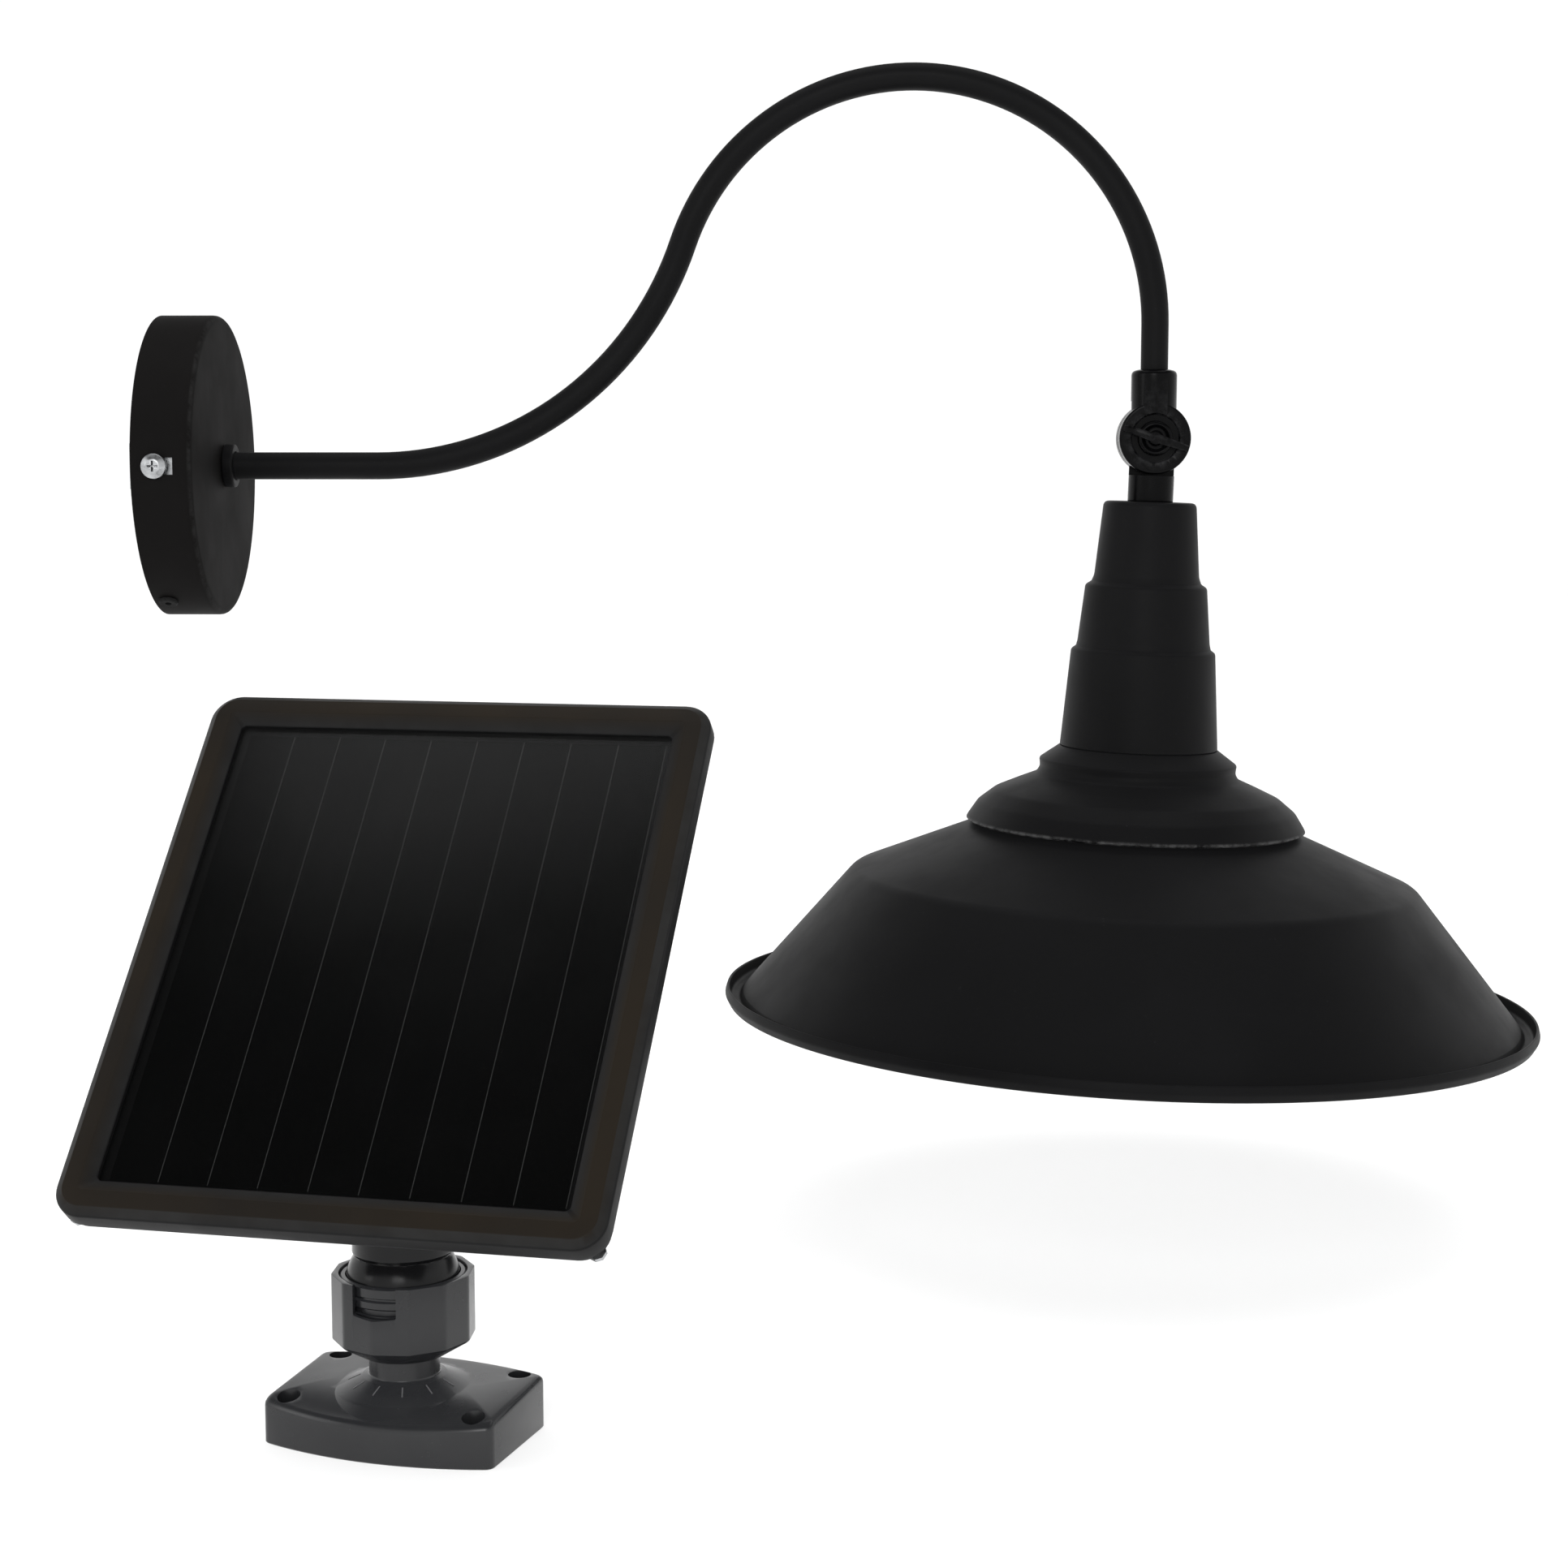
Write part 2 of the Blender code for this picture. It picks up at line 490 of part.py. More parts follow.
def ball_arm(tilt, face):
    turns = [(BALL_R * math.sin(a), -BALL_R * math.cos(a)) for a in (math.pi * i / 10 for i in range(11))]
    turns[0], turns[-1] = (0, -BALL_R), (0, BALL_R)
    arm = lathe("ball_arm", turns, 24, parent=tilt, turn=(-TILT, 0, 0))
    stem = [(0, 2), (14.6, 7.6), (13.4, 12.0), (11.4, 19.0), (10.2, 30.0), (9.8, 84.0), (0, 84.0)]
    join(arm, lathe("arm_stem", stem, 20, parent=tilt, turn=(-TILT, 0, 0)))
    pad = [rounded_rect(*ARM_PAD_SIZE, 5, z) for z in (TRAY_BACK - GAP - 3.4, TRAY_BACK - GAP + 1)]
    join(arm, loft("arm_pad", pad, parent=face, at=(0, ARM_PAD_AT, 0)))
    cut(arm, box("arm_trim", (-60, -70, TRAY_BACK - GAP), (60, 60, 60), parent=face))
    for i, (x, y) in enumerate(arm_screw_spots(), 1):
        drill(arm, f"arm_hole_{i}", face, (x, y, -10), 2.0, 10)
        head = TRAY_BACK - GAP - 3.4 - GAP
        profile = [(0, head - 2.2), (2.4, head - 2.2), (3.2, head - 1.4), (3.2, head),
                   (1.7, head), (1.7, -10.2), (0, -10.2)]
        paint(lathe(f"arm_screw_{i}", profile, 10, parent=face, at=(x, y, 0)), *ZINC)
    return paint(arm, *BALL_PLASTIC)


def arm_screw_spots():
    x, y = ARM_SCREWS
    return [(sx * x, ARM_PAD_AT + sy * y) for sx in (-1, 1) for sy in (-1, 1)]


def panel_loop(inset, height, steps=3):
    radius = max(PANEL_R - inset, 1.6)
    return rounded_rect(PANEL_W - 2 * inset, PANEL_H - 2 * inset, radius, height, steps)


def corner_spots():
    x, y = PANEL_W / 2 - 4.5, PANEL_H / 2 - 4.5
    return [(sx * x, sy * y) for sx in (-1, 1) for sy in (-1, 1)]


def panel_frame(face):
    section = [(0.8, 0), (0, 0.8), (0, 5.6), (0.6, 6.6), (2.8, 8.0), (3.4, 8.2), (7.0, 8.4), (7.6, 8.2),
               (10.8, 6.5), (11.3, 6.1), (11.3, 4.9), (6.0, 4.9), (6.0, 0)]
    frame = loft("panel_frame", [panel_loop(inset, z) for inset, z in section], ring=True, parent=face)
    for i, (x, y) in enumerate(corner_spots(), 1):
        hole = [(0, -5), (1.5, -5), (1.5, 4.4), (0, 4.4)]
        cut(frame, lathe(f"frame_hole_{i}", hole, 8, parent=face, at=(x, y, 0)))
        screw = [(0, -4.6), (2.1, -4.6), (2.7, -4.0), (2.7, -2.6), (1.2, -2.6), (1.2, 4.0), (0, 4.0)]
        paint(lathe(f"panel_screw_{i}", screw, 8, parent=face, at=(x, y, 0)), *ZINC)
    return paint(frame, *PANEL_PLASTIC)


def drill(target, name, parent, at, radius, segments):
    profile = [(0, -20), (radius, -20), (radius, 5), (0, 5)]
    return cut(target, lathe(name, profile, segments, parent=parent, at=at))


def rear_housing(face):
    section = [(1.0, -0.3), (1.0, -2.3), (8.5, -2.3), (8.5, -8.0), (12.0, TRAY_BACK)]
    cavity = [(13.6, TRAY_BACK + 2), (10.4, -7.4), (10.4, -0.3)]
    outer = [panel_loop(inset, z) for inset, z in section]
    inner = [panel_loop(inset, z) for inset, z in cavity]
    tray = loft("rear_housing", outer, parent=face)
    cut(tray, loft("tray_cavity", inner[:2] + [panel_loop(10.4, 5)], parent=face))
    for i, (x, y) in enumerate(corner_spots(), 1):
        drill(tray, f"flange_hole_{i}", face, (x, y, 0), 1.6, 8)
    for i, (x, y) in enumerate(arm_screw_spots(), 1):
        drill(tray, f"tray_hole_{i}", face, (x, y, 0), 2.0, 10)
    drill(tray, "gland_hole", face, GLAND_AT, 4.3, 20)
    gland = [(2.0, -24.0), (3.4, -24.0), (3.8, -19.5), (6.4, -19.0), (6.4, -13.3), (4.0, -13.3),
             (4.0, -9.6), (2.0, -9.6)]
    paint(lathe("cable_gland", gland, 16, ring=True, parent=face, at=GLAND_AT), *RUBBER)
    return paint(tray, *PANEL_PLASTIC)


def solar_stack(face):
    sheet = [panel_loop(6.4, z, 3) for z in (1.3, 2.6)]
    paint(loft("back_sheet", sheet, parent=face), (0.05, 0.05, 0.055), 0.6)
    for i in range(CELL_COUNT):
        x = (i - (CELL_COUNT - 1) / 2) * CELL_PITCH
        low, high = (x - CELL_W / 2, -CELL_H / 2, 2.9), (x + CELL_W / 2, CELL_H / 2, 3.3)
        paint(box(f"cell_strip_{i + 1}", low, high, parent=face), *CELL)
    pane = [panel_loop(6.4, z, 3) for z in (3.6, 4.6)]
    paint(loft("panel_glass", pane, parent=face), (0.9, 0.93, 0.95), 0.05, alpha=0.25)


def build():
    clear_scene()
    wall_bracket()
    canopy_cup()
    canopy_screw("canopy_screw_near", 1)
    canopy_screw("canopy_screw_far", -1)
    arm_fittings()
    cable_grommet()
    gooseneck_arm()
    knuckle_upper()
    knuckle_screw()

    head = frame_empty("head_pivot", PIVOT, (0, HEAD_LEAN, 0))
    rim = frame_empty("shade_rim", (0, 0, -RIM_DROP), parent=head)
    knuckle_lower(head)
    neck_cover(rim)
    shade_cap(rim)
    shade(rim)
    neck_internals(rim)
    light_module(rim)
    power_button(rim)

    foot = panel_base()
    clamp_collar(foot)
    ball_seat(foot)
    ball_at = (BASE_AT[0], BASE_AT[1], BASE_AT[2] + BALL_U)
    pan = frame_empty("ball_pan", ball_at, (0, 0, PAN))
    tilt = frame_empty("ball_tilt", turn=(TILT, 0, 0), parent=pan)
    face = frame_empty("panel_face", (0, -PANEL_BACK, PANEL_CENTRE), (90, 0, 0), parent=tilt)
    ball_arm(tilt, face)
    panel_frame(face)
    rear_housing(face)
    solar_stack(face)


build()
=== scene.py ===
"""Looks of the gooseneck wall lamp and its solar panel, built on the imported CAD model.

The CAD nodes that show are replaced by finer meshes of the same shape, and the rest get
procedural materials. Sizes are in millimetres and degrees, in each unit's own frame, and
the points of a profile are (radius, height) or (radius, height, radius of the corner).
"""

import json
import math

import bmesh
import bpy
from mathutils import Euler, Matrix, Vector


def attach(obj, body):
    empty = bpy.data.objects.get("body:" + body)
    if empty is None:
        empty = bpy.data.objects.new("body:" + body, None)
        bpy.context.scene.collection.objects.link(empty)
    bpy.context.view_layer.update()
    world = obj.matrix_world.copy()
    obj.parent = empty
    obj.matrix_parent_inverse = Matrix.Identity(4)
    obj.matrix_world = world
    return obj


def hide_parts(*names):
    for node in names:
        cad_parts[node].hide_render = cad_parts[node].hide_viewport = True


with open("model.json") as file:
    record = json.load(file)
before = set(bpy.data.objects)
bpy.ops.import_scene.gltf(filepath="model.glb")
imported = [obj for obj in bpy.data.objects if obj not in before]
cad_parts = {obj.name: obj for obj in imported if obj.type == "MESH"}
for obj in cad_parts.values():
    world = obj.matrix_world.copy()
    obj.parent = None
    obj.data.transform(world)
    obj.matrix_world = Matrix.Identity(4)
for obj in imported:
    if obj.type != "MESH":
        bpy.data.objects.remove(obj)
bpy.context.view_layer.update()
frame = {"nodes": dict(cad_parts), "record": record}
NODES = frame["nodes"]

MM = 0.001

# The gooseneck's bends, the knuckle and the head
RISE_R, ARCH_R, ARCH_Z = 120.0, 89.0, 51.5
TUBE_R, TUBE_INNER_R = 5.0, 3.6
PIVOT, HEAD_LEAN = (365.3, 0.0, 10.0), 1.9
EAR_R, EAR_DEPTH, STEM_R = 13.1, 7.2, 8.35
RIM_DROP = 211.5
CONE_U, CONE_SLOPE, CONE_R = 66.0, 0.33, 62.6
HEAD_SCREW_R, HEAD_SCREW_TURN = 31.2, 93

# The panel's base, its ball and its socket
BASE_AT, BASE_TURN = (122.0, -240.0, -284.0), -17.0
BASE_W, BASE_D, BASE_BOW = 73.0, 39.0, 6.0
CROWN_U, CROWN_R = 16.0, 70.0
BALL_U, BALL_R, SOCKET_R = 46.0, 17.0, 17.3

# The panel
PAN, TILT = -12.4, -41.2
PANEL_BACK, PANEL_CENTRE = 61.6, 72.9
PANEL_W, PANEL_H, PANEL_R = 161.0, 179.0, 9.0
TRAY_BACK = -13.0
CORNER_INSET = 4.5
GLAND_AT, PAD_AT = (38, 34, 0), (0, -18, 0)
CELLS, CELL_PITCH, CELL_W = 9, 14.9, 14.5

# The six faces of a box whose corners run round its bottom and then round its top
BOX_FACES = ((0, 1, 2, 3), (4, 5, 6, 7), (0, 1, 5, 4), (1, 2, 6, 5), (2, 3, 7, 6), (3, 0, 4, 7))


def pose(at=(0, 0, 0), turn=(0, 0, 0), base=None):
    """A place in millimetres and a turn in degrees, inside the frame base if there is one."""
    spin = Euler([math.radians(a) for a in turn]).to_matrix().to_4x4()
    here = Matrix.Translation(Vector(at) * MM) @ spin
    return base @ here if base else here


WALL = pose()
OUT = pose(turn=(0, 90, 0))
HEAD = pose(PIVOT, (0, HEAD_LEAN, 0))
RIM = pose((0, 0, -RIM_DROP), base=HEAD)
FOOT = pose(BASE_AT, (0, 0, BASE_TURN))
PANNED = pose((BASE_AT[0], BASE_AT[1], BASE_AT[2] + BALL_U), (0, 0, PAN))
TILTED = pose(turn=(TILT, 0, 0), base=PANNED)
FACE = pose((0, -PANEL_BACK, PANEL_CENTRE), (90, 0, 0), TILTED)


# Shapes

def mesh_piece(name, verts, faces, where=WALL, sharp=32):
    """A smooth mesh from millimetres, with creases where its faces turn by more than sharp degrees."""
    mesh = bpy.data.meshes.new(name)
    mesh.from_pydata([[c * MM for c in v] for v in verts], [], faces)
    bm = bmesh.new()
    bm.from_mesh(mesh)
    bmesh.ops.recalc_face_normals(bm, faces=bm.faces)
    bm.to_mesh(mesh)
    bm.free()
    obj = bpy.data.objects.new(name, mesh)
    bpy.context.scene.collection.objects.link(obj)
    obj.matrix_world = where
    shade_smooth(obj, sharp)
    return obj


def shade_smooth(obj, sharp=32):
    mesh = obj.data
    mesh.polygons.foreach_set("use_smooth", [True] * len(mesh.polygons))
    mesh.set_sharp_from_angle(angle=math.radians(sharp))


def soften(points, closed, steps=5):
    """Rounds a 2-D path. A point is (a, b) or (a, b, radius of its corner)."""
    out = []
    for i, point in enumerate(points):
        here = Vector(point[:2])
        radius = point[2] if len(point) > 2 else 0
        if radius == 0 or not closed and i in (0, len(points) - 1):
            out.append(tuple(here))
            continue
        before = Vector(points[i - 1][:2]) - here
        after = Vector(points[(i + 1) % len(points)][:2]) - here
        half = before.angle(after) / 2
        reach = min(radius / max(math.tan(half), 0.05), 0.49 * before.length, 0.49 * after.length)
        start, end = here + before.normalized() * reach, here + after.normalized() * reach
        for k in range(steps + 1):
            t = k / steps
            out.append(tuple(start * (1 - t) ** 2 + here * 2 * t * (1 - t) + end * t ** 2))
    return out


def loft(name, loops, ring=False, where=WALL, sharp=32):
    """Skins loops of equal length, with flat ends, or as a ring whose last loop joins the first."""
    count = len(loops[0])
    verts = [point for loop in loops for point in loop]
    last = len(loops) - 1
    pairs = [(i, i + 1) for i in range(last)] + ([(last, 0)] if ring else [])
    faces = [(a * count + i, a * count + (i + 1) % count, b * count + (i + 1) % count, b * count + i)
             for a, b in pairs for i in range(count)]
    if not ring:
        faces += [tuple(range(count)), tuple(range(last * count, (last + 1) * count))]
    return mesh_piece(name, verts, faces, where, sharp)


def circle(radius, height, count):
    angles = [2 * math.pi * i / count for i in range(count)]
    return [(radius * math.cos(a), radius * math.sin(a), height) for a in angles]


def lathe(name, profile, where=WALL, segments=144, closed=True, sharp=32):
    """Turns a (radius, height, corner radius) path about local Z. An open path ends on the axis."""
    path = soften(profile, closed)
    if closed:
        return loft(name, [circle(r, h, segments) for r, h in path], True, where, sharp)
    inner = [p for p in path if p[0] > 1e-6]
    verts = [v for r, h in inner for v in circle(r, h, segments)]
    rows = len(inner)
    faces = [(a * segments + i, a * segments + (i + 1) % segments,
              (a + 1) * segments + (i + 1) % segments, (a + 1) * segments + i)
             for a in range(rows - 1) for i in range(segments)]
    for end, row in ((path[0], 0), (path[-1], rows - 1)):
        verts.append((0, 0, end[1]))
        hub = len(verts) - 1
        faces += [(row * segments + i, row * segments + (i + 1) % segments, hub)
                  for i in range(segments)]
    return mesh_piece(name, verts, faces, where, sharp)


def flats_loop(apothem, sides, height, count, corner=0.06):
    """A polygon with slightly rounded corners, as points on rays from its centre."""
    step = 2 * math.pi / sides
    loop = []
    for i in range(count):
        angle = 2 * math.pi * i / count
        off = abs(angle % step - step / 2)
        limit = apothem / math.cos(step / 2) * (1 - corner * (1 - math.cos(step / 2)) * 2)
        radius = min(apothem / math.cos(off), limit)
        loop.append((radius * math.cos(angle), radius * math.sin(angle), height))
    return loop


def rounded_rect(width, depth, radius, height, steps=8):
    loop = []
    for sx, sy, start in ((1, 1, 0), (-1, 1, 90), (-1, -1, 180), (1, -1, 270)):
        for i in range(steps + 1):
            angle = math.radians(start + 90 * i / steps)
            loop.append((sx * (width / 2 - radius) + radius * math.cos(angle),
                         sy * (depth / 2 - radius) + radius * math.sin(angle), height))
    return loop


def block(name, low, high, where=WALL):
    loops = [[(low[0], low[1], z), (high[0], low[1], z), (high[0], high[1], z), (low[0], high[1], z)]
             for z in (low[2], high[2])]
    return loft(name, loops, where=where)


def settle(obj):
    """Applies the modifiers."""
    bpy.context.view_layer.update()
    graph = bpy.context.evaluated_depsgraph_get()
    mesh = bpy.data.meshes.new_from_object(obj.evaluated_get(graph))
    obj.modifiers.clear()
    obj.data = mesh
    return obj


def carve(obj, tools, operation="DIFFERENCE"):
    for tool in tools:
        change = obj.modifiers.new(tool.name, "BOOLEAN")
        change.operation, change.solver, change.object = operation, "EXACT", tool
    settle(obj)
    for tool in tools:
        bpy.data.objects.remove(tool, do_unlink=True)
    return obj


def break_edges(obj, width=0.25, segments=2, angle=30, keep_flats=False):
    """Rounds the sharp edges a little, as moulding, casting and paint do."""
    bevel = obj.modifiers.new("edges", "BEVEL")
    bevel.width, bevel.segments = width * MM, segments
    bevel.limit_method, bevel.angle_limit = "ANGLE", math.radians(angle)
    bevel.use_clamp_overlap = True
    if keep_flats:
        shade_smooth(obj, 40)
        obj.modifiers.new("flats", "WEIGHTED_NORMAL").keep_sharp = True
        return settle(obj)
    settle(obj)
    shade_smooth(obj, 40)
    return obj


def drill(name, radius, low, high, where, segments=40):
    return lathe(name, [(0, low), (radius, low), (radius, high), (0, high)], where, segments, closed=False)


def drills(name, radius, low, high, spots, base, segments=24):
    return [drill(f"{name}_{i}", radius, low, high, pose(at, base=base), segments)
            for i, at in enumerate(spots)]


def bars(name, boxes, where):
    """One mesh of boxes, each given as its eight corners."""
    verts = [corner for box in boxes for corner in box]
    faces = [tuple(8 * k + i for i in quad) for k in range(len(boxes)) for quad in BOX_FACES]
    return mesh_piece(name, verts, faces, where)


# Materials

class Finish:
    """A Principled material with helpers that add procedural detail to it."""

    def __init__(self, name, colour, roughness, metallic=0.0, **sockets):
        self.mat = bpy.data.materials.new(name)
        self.mat.use_nodes = True
        self.nodes, self.links = self.mat.node_tree.nodes, self.mat.node_tree.links
        self.shader = self.nodes["Principled BSDF"]
        self.colour, self.roughness = (*colour, 1.0), roughness
        self.shader.inputs["Base Color"].default_value = self.colour
        self.shader.inputs["Roughness"].default_value = roughness
        self.shader.inputs["Metallic"].default_value = metallic
        for key, value in sockets.items():
            self.shader.inputs[key.replace("_", " ")].default_value = value
        self.coords = self.nodes.new("ShaderNodeTexCoord").outputs["Object"]
        self.colour_out = self.rough_out = self.normal_out = None

    def node(self, kind, **settings):
        made = self.nodes.new(kind)
        for key, value in settings.items():
            setattr(made, key, value)
        return made

    def noise(self, scale, detail=4.0, roughness=0.55, stretch=(1, 1, 1), offset=0.0):
        mapping = self.node("ShaderNodeMapping")
        mapping.inputs["Scale"].default_value = stretch
        mapping.inputs["Location"].default_value = (offset, offset * 0.7, offset * 1.3)
        self.links.new(self.coords, mapping.inputs["Vector"])
        tex = self.node("ShaderNodeTexNoise")
        tex.inputs["Scale"].default_value = scale
        tex.inputs["Detail"].default_value = detail
        tex.inputs["Roughness"].default_value = roughness
        self.links.new(mapping.outputs["Vector"], tex.inputs["Vector"])
        return tex.outputs["Fac"]

    def remap(self, value, low, high, to_low=0.0, to_high=1.0):
        made = self.node("ShaderNodeMapRange")
        for key, number in (("From Min", low), ("From Max", high), ("To Min", to_low), ("To Max", to_high)):
            made.inputs[key].default_value = number
        self.links.new(value, made.inputs["Value"])
        return made.outputs["Result"]

    def times(self, a, b):
        made = self.node("ShaderNodeMath", operation="MULTIPLY")
        self.links.new(a, made.inputs[0])
        self.links.new(b, made.inputs[1])
        return made.outputs[0]

    def attribute(self, name):
        return self.node("ShaderNodeAttribute", attribute_name=name).outputs["Fac"]

    def tint(self, mask, colour):
        made = self.node("ShaderNodeMix", data_type="RGBA")
        made.inputs["A"].default_value = self.colour
        if self.colour_out:
            self.links.new(self.colour_out, made.inputs["A"])
        made.inputs["B"].default_value = (*colour, 1.0)
        self.links.new(mask, made.inputs["Factor"])
        self.colour_out = made.outputs["Result"]
        self.links.new(self.colour_out, self.shader.inputs["Base Color"])
        return self

    def gloss(self, mask, roughness):
        made = self.node("ShaderNodeMix", data_type="FLOAT")
        made.inputs["A"].default_value = self.roughness
        if self.rough_out:
            self.links.new(self.rough_out, made.inputs["A"])
        made.inputs["B"].default_value = roughness
        self.links.new(mask, made.inputs["Factor"])
        self.rough_out = made.outputs["Result"]
        self.links.new(self.rough_out, self.shader.inputs["Roughness"])
        return self

    def bump(self, height, distance, strength=1.0):
        made = self.node("ShaderNodeBump")
        made.inputs["Strength"].default_value = strength
        made.inputs["Distance"].default_value = distance * MM
        self.links.new(height, made.inputs["Height"])
        if self.normal_out:
            self.links.new(self.normal_out, made.inputs["Normal"])
        self.normal_out = made.outputs["Normal"]
        self.links.new(self.normal_out, self.shader.inputs["Normal"])
        return self


def powder_coat(name="powder_coat", colour=(0.0036, 0.0036, 0.0039), roughness=0.48, level=0.085):
    """Satin black powder coat: fine orange peel, faint dust and scuffs, and a light speckled line on marked
    edges, partly bare metal where the paint has come off and partly a painted highlight.
    """
    made = Finish(name, colour, roughness, Specular_IOR_Level=level)
    broad = made.noise(14, 3)
    made.tint(made.remap(broad, 0.42, 0.72, 0.0, 0.55), tuple(c * 1.5 for c in colour))
    made.gloss(made.remap(made.noise(38, 4, offset=3), 0.38, 0.68), roughness + 0.08)
    dust = made.remap(made.noise(900, 2, offset=7), 0.70, 0.80, 0.0, 0.30)
    made.tint(dust, (0.025, 0.025, 0.026))
    made.bump(made.noise(1500, 2), 0.012, 0.55)
    # painted highlight and bare metal: a light grey speckled line on the marked edges of the canopy and the
    # cap
    highlight_and_wear_mask = made.times(made.attribute("wear_and_highlight"), made.remap(made.noise(210, 5, 0.7, offset=11), 0.40, 0.60))
    made.tint(highlight_and_wear_mask, (0.13, 0.13, 0.13))
    return made.mat


def black_casting():
    """Glossy black paint over a slightly uneven casting."""
    made = Finish("black_casting", (0.0010, 0.0010, 0.0012), 0.20, Specular_IOR_Level=0.085)
    made.tint(made.remap(made.noise(60, 4), 0.4, 0.7, 0.0, 0.6), (0.0022, 0.0022, 0.0025))
    made.gloss(made.remap(made.noise(160, 4, offset=2), 0.4, 0.66), 0.28)
    made.bump(made.noise(620, 3), 0.02, 0.5)
    # painted highlight: a lighter grey on the marked dish edge of the knuckle's disc and on the edges of the
    # wing
    highlight_and_wear_mask = made.times(made.attribute("wear_and_highlight"), made.remap(made.noise(320, 5, 0.7, offset=5), 0.42, 0.62))
    made.tint(highlight_and_wear_mask, (0.045, 0.045, 0.047))
    return made.mat


def zinc_plate(name="zinc_plate", colour=(0.46, 0.47, 0.48)):
    made = Finish(name, colour, 0.24, 1.0)
    made.tint(made.remap(made.noise(260, 5), 0.4, 0.7), tuple(c * 0.72 for c in colour))
    made.gloss(made.remap(made.noise(700, 4, offset=4), 0.35, 0.7), 0.42)
    made.bump(made.noise(1600, 3, stretch=(1, 1, 0.15)), 0.006, 0.5)
    return made.mat


def mount_plastic():
    """Dark grey semi-gloss moulded plastic."""
    made = Finish("mount_plastic", (0.013, 0.0134, 0.0148), 0.23, Specular_IOR_Level=0.40)
    made.tint(made.remap(made.noise(30, 4), 0.38, 0.7, 0.0, 0.6), (0.021, 0.0215, 0.0225))
    made.tint(made.remap(made.noise(1300, 2, offset=9), 0.72, 0.80, 0.0, 0.5), (0.06, 0.06, 0.062))
    made.gloss(made.remap(made.noise(120, 4, offset=6), 0.4, 0.68), 0.28)
    made.bump(made.noise(900, 3), 0.004, 0.3)
    return made.mat


def ball_plastic():
    """Glossy black plastic of the ball and its arm."""
    made = Finish("ball_plastic", (0.0035, 0.0035, 0.0038), 0.20, Specular_IOR_Level=0.22)
    made.tint(made.remap(made.noise(90, 4), 0.4, 0.7, 0.0, 0.8), (0.0055, 0.0055, 0.006))
    made.gloss(made.remap(made.noise(220, 5, offset=2), 0.42, 0.66), 0.25)
    made.bump(made.noise(700, 2), 0.003, 0.3)
    return made.mat


def bezel_plastic():
    """Fine satin black, browner on the front flat, and lighter and greyer on the outer chamfer and inner
    slope as a painted highlight.
    """
    made = Finish("bezel_plastic", (0.0055, 0.0055, 0.0057), 0.45, Specular_IOR_Level=0.11)
    brown = made.remap(made.noise(16, 3), 0.30, 0.62, 0.45, 1.0)
    made.tint(made.times(made.attribute("front"), brown), (0.0125, 0.0094, 0.0062))
    # painted highlight: the outer chamfer and the inner slope, marked on the bezel, are tinted lighter grey
    # here
    chamfer_highlight = made.remap(made.noise(70, 4, offset=8), 0.35, 0.65, 0.45, 1.0)
    made.tint(made.times(made.attribute("wear_and_highlight"), chamfer_highlight), (0.0165, 0.0163, 0.0160))
    made.gloss(made.remap(made.noise(90, 4, offset=4), 0.4, 0.66), 0.50)
    made.bump(made.noise(2100, 2), 0.010, 0.6)
    return made.mat


def rear_plastic():
    """Grained black plastic of the panel's back."""
    made = Finish("rear_plastic", (0.009, 0.009, 0.0095), 0.5, Specular_IOR_Level=0.2)
    made.tint(made.remap(made.noise(24, 4), 0.4, 0.7), (0.014, 0.014, 0.0145))
    made.gloss(made.remap(made.noise(150, 4, offset=2), 0.4, 0.66), 0.6)
    made.bump(made.noise(1700, 3), 0.03, 0.6)
    return made.mat


def soft_rubber():
    made = Finish("soft_rubber", (0.006, 0.006, 0.006), 0.75, Specular_IOR_Level=0.1)
    made.tint(made.remap(made.noise(120, 4), 0.4, 0.7), (0.010, 0.010, 0.010))
    made.bump(made.noise(1400, 3), 0.02, 0.6)
    return made.mat


def silicon():
    """Near-black cell with a faint fine grid and a slight change of tone over its length."""
    made = Finish("silicon", (0.0006, 0.0007, 0.0007), 0.34, Specular_IOR_Level=0.05)
    made.tint(made.remap(made.noise(9, 3), 0.4, 0.7), (0.0010, 0.0012, 0.0012))
    made.gloss(made.remap(made.noise(400, 3, offset=4), 0.4, 0.7), 0.46)
    made.bump(made.noise(2600, 1), 0.001, 0.2)
    return made.mat


def laminate():
    """Clear cover: mostly see-through, with its own faint sheen."""
    made = Finish("laminate", (0.0006, 0.0007, 0.0007), 0.16, Specular_IOR_Level=0.5, Alpha=0.42)
    made.gloss(made.remap(made.noise(45, 4), 0.4, 0.7), 0.19)
    made.bump(made.noise(40, 2), 0.004, 0.1)
    return made.mat


def plain_finish(name, colour, roughness, darker=0.75, grain=400, depth=0.01, metallic=0.0):
    made = Finish(name, colour, roughness, metallic)
    made.tint(made.remap(made.noise(grain / 6, 4), 0.38, 0.7), tuple(c * darker for c in colour))
    made.gloss(made.remap(made.noise(grain, 3, offset=3), 0.4, 0.7), min(roughness + 0.1, 1))
    made.bump(made.noise(grain * 2, 3), depth, 0.5)
    return made.mat


COAT = powder_coat()
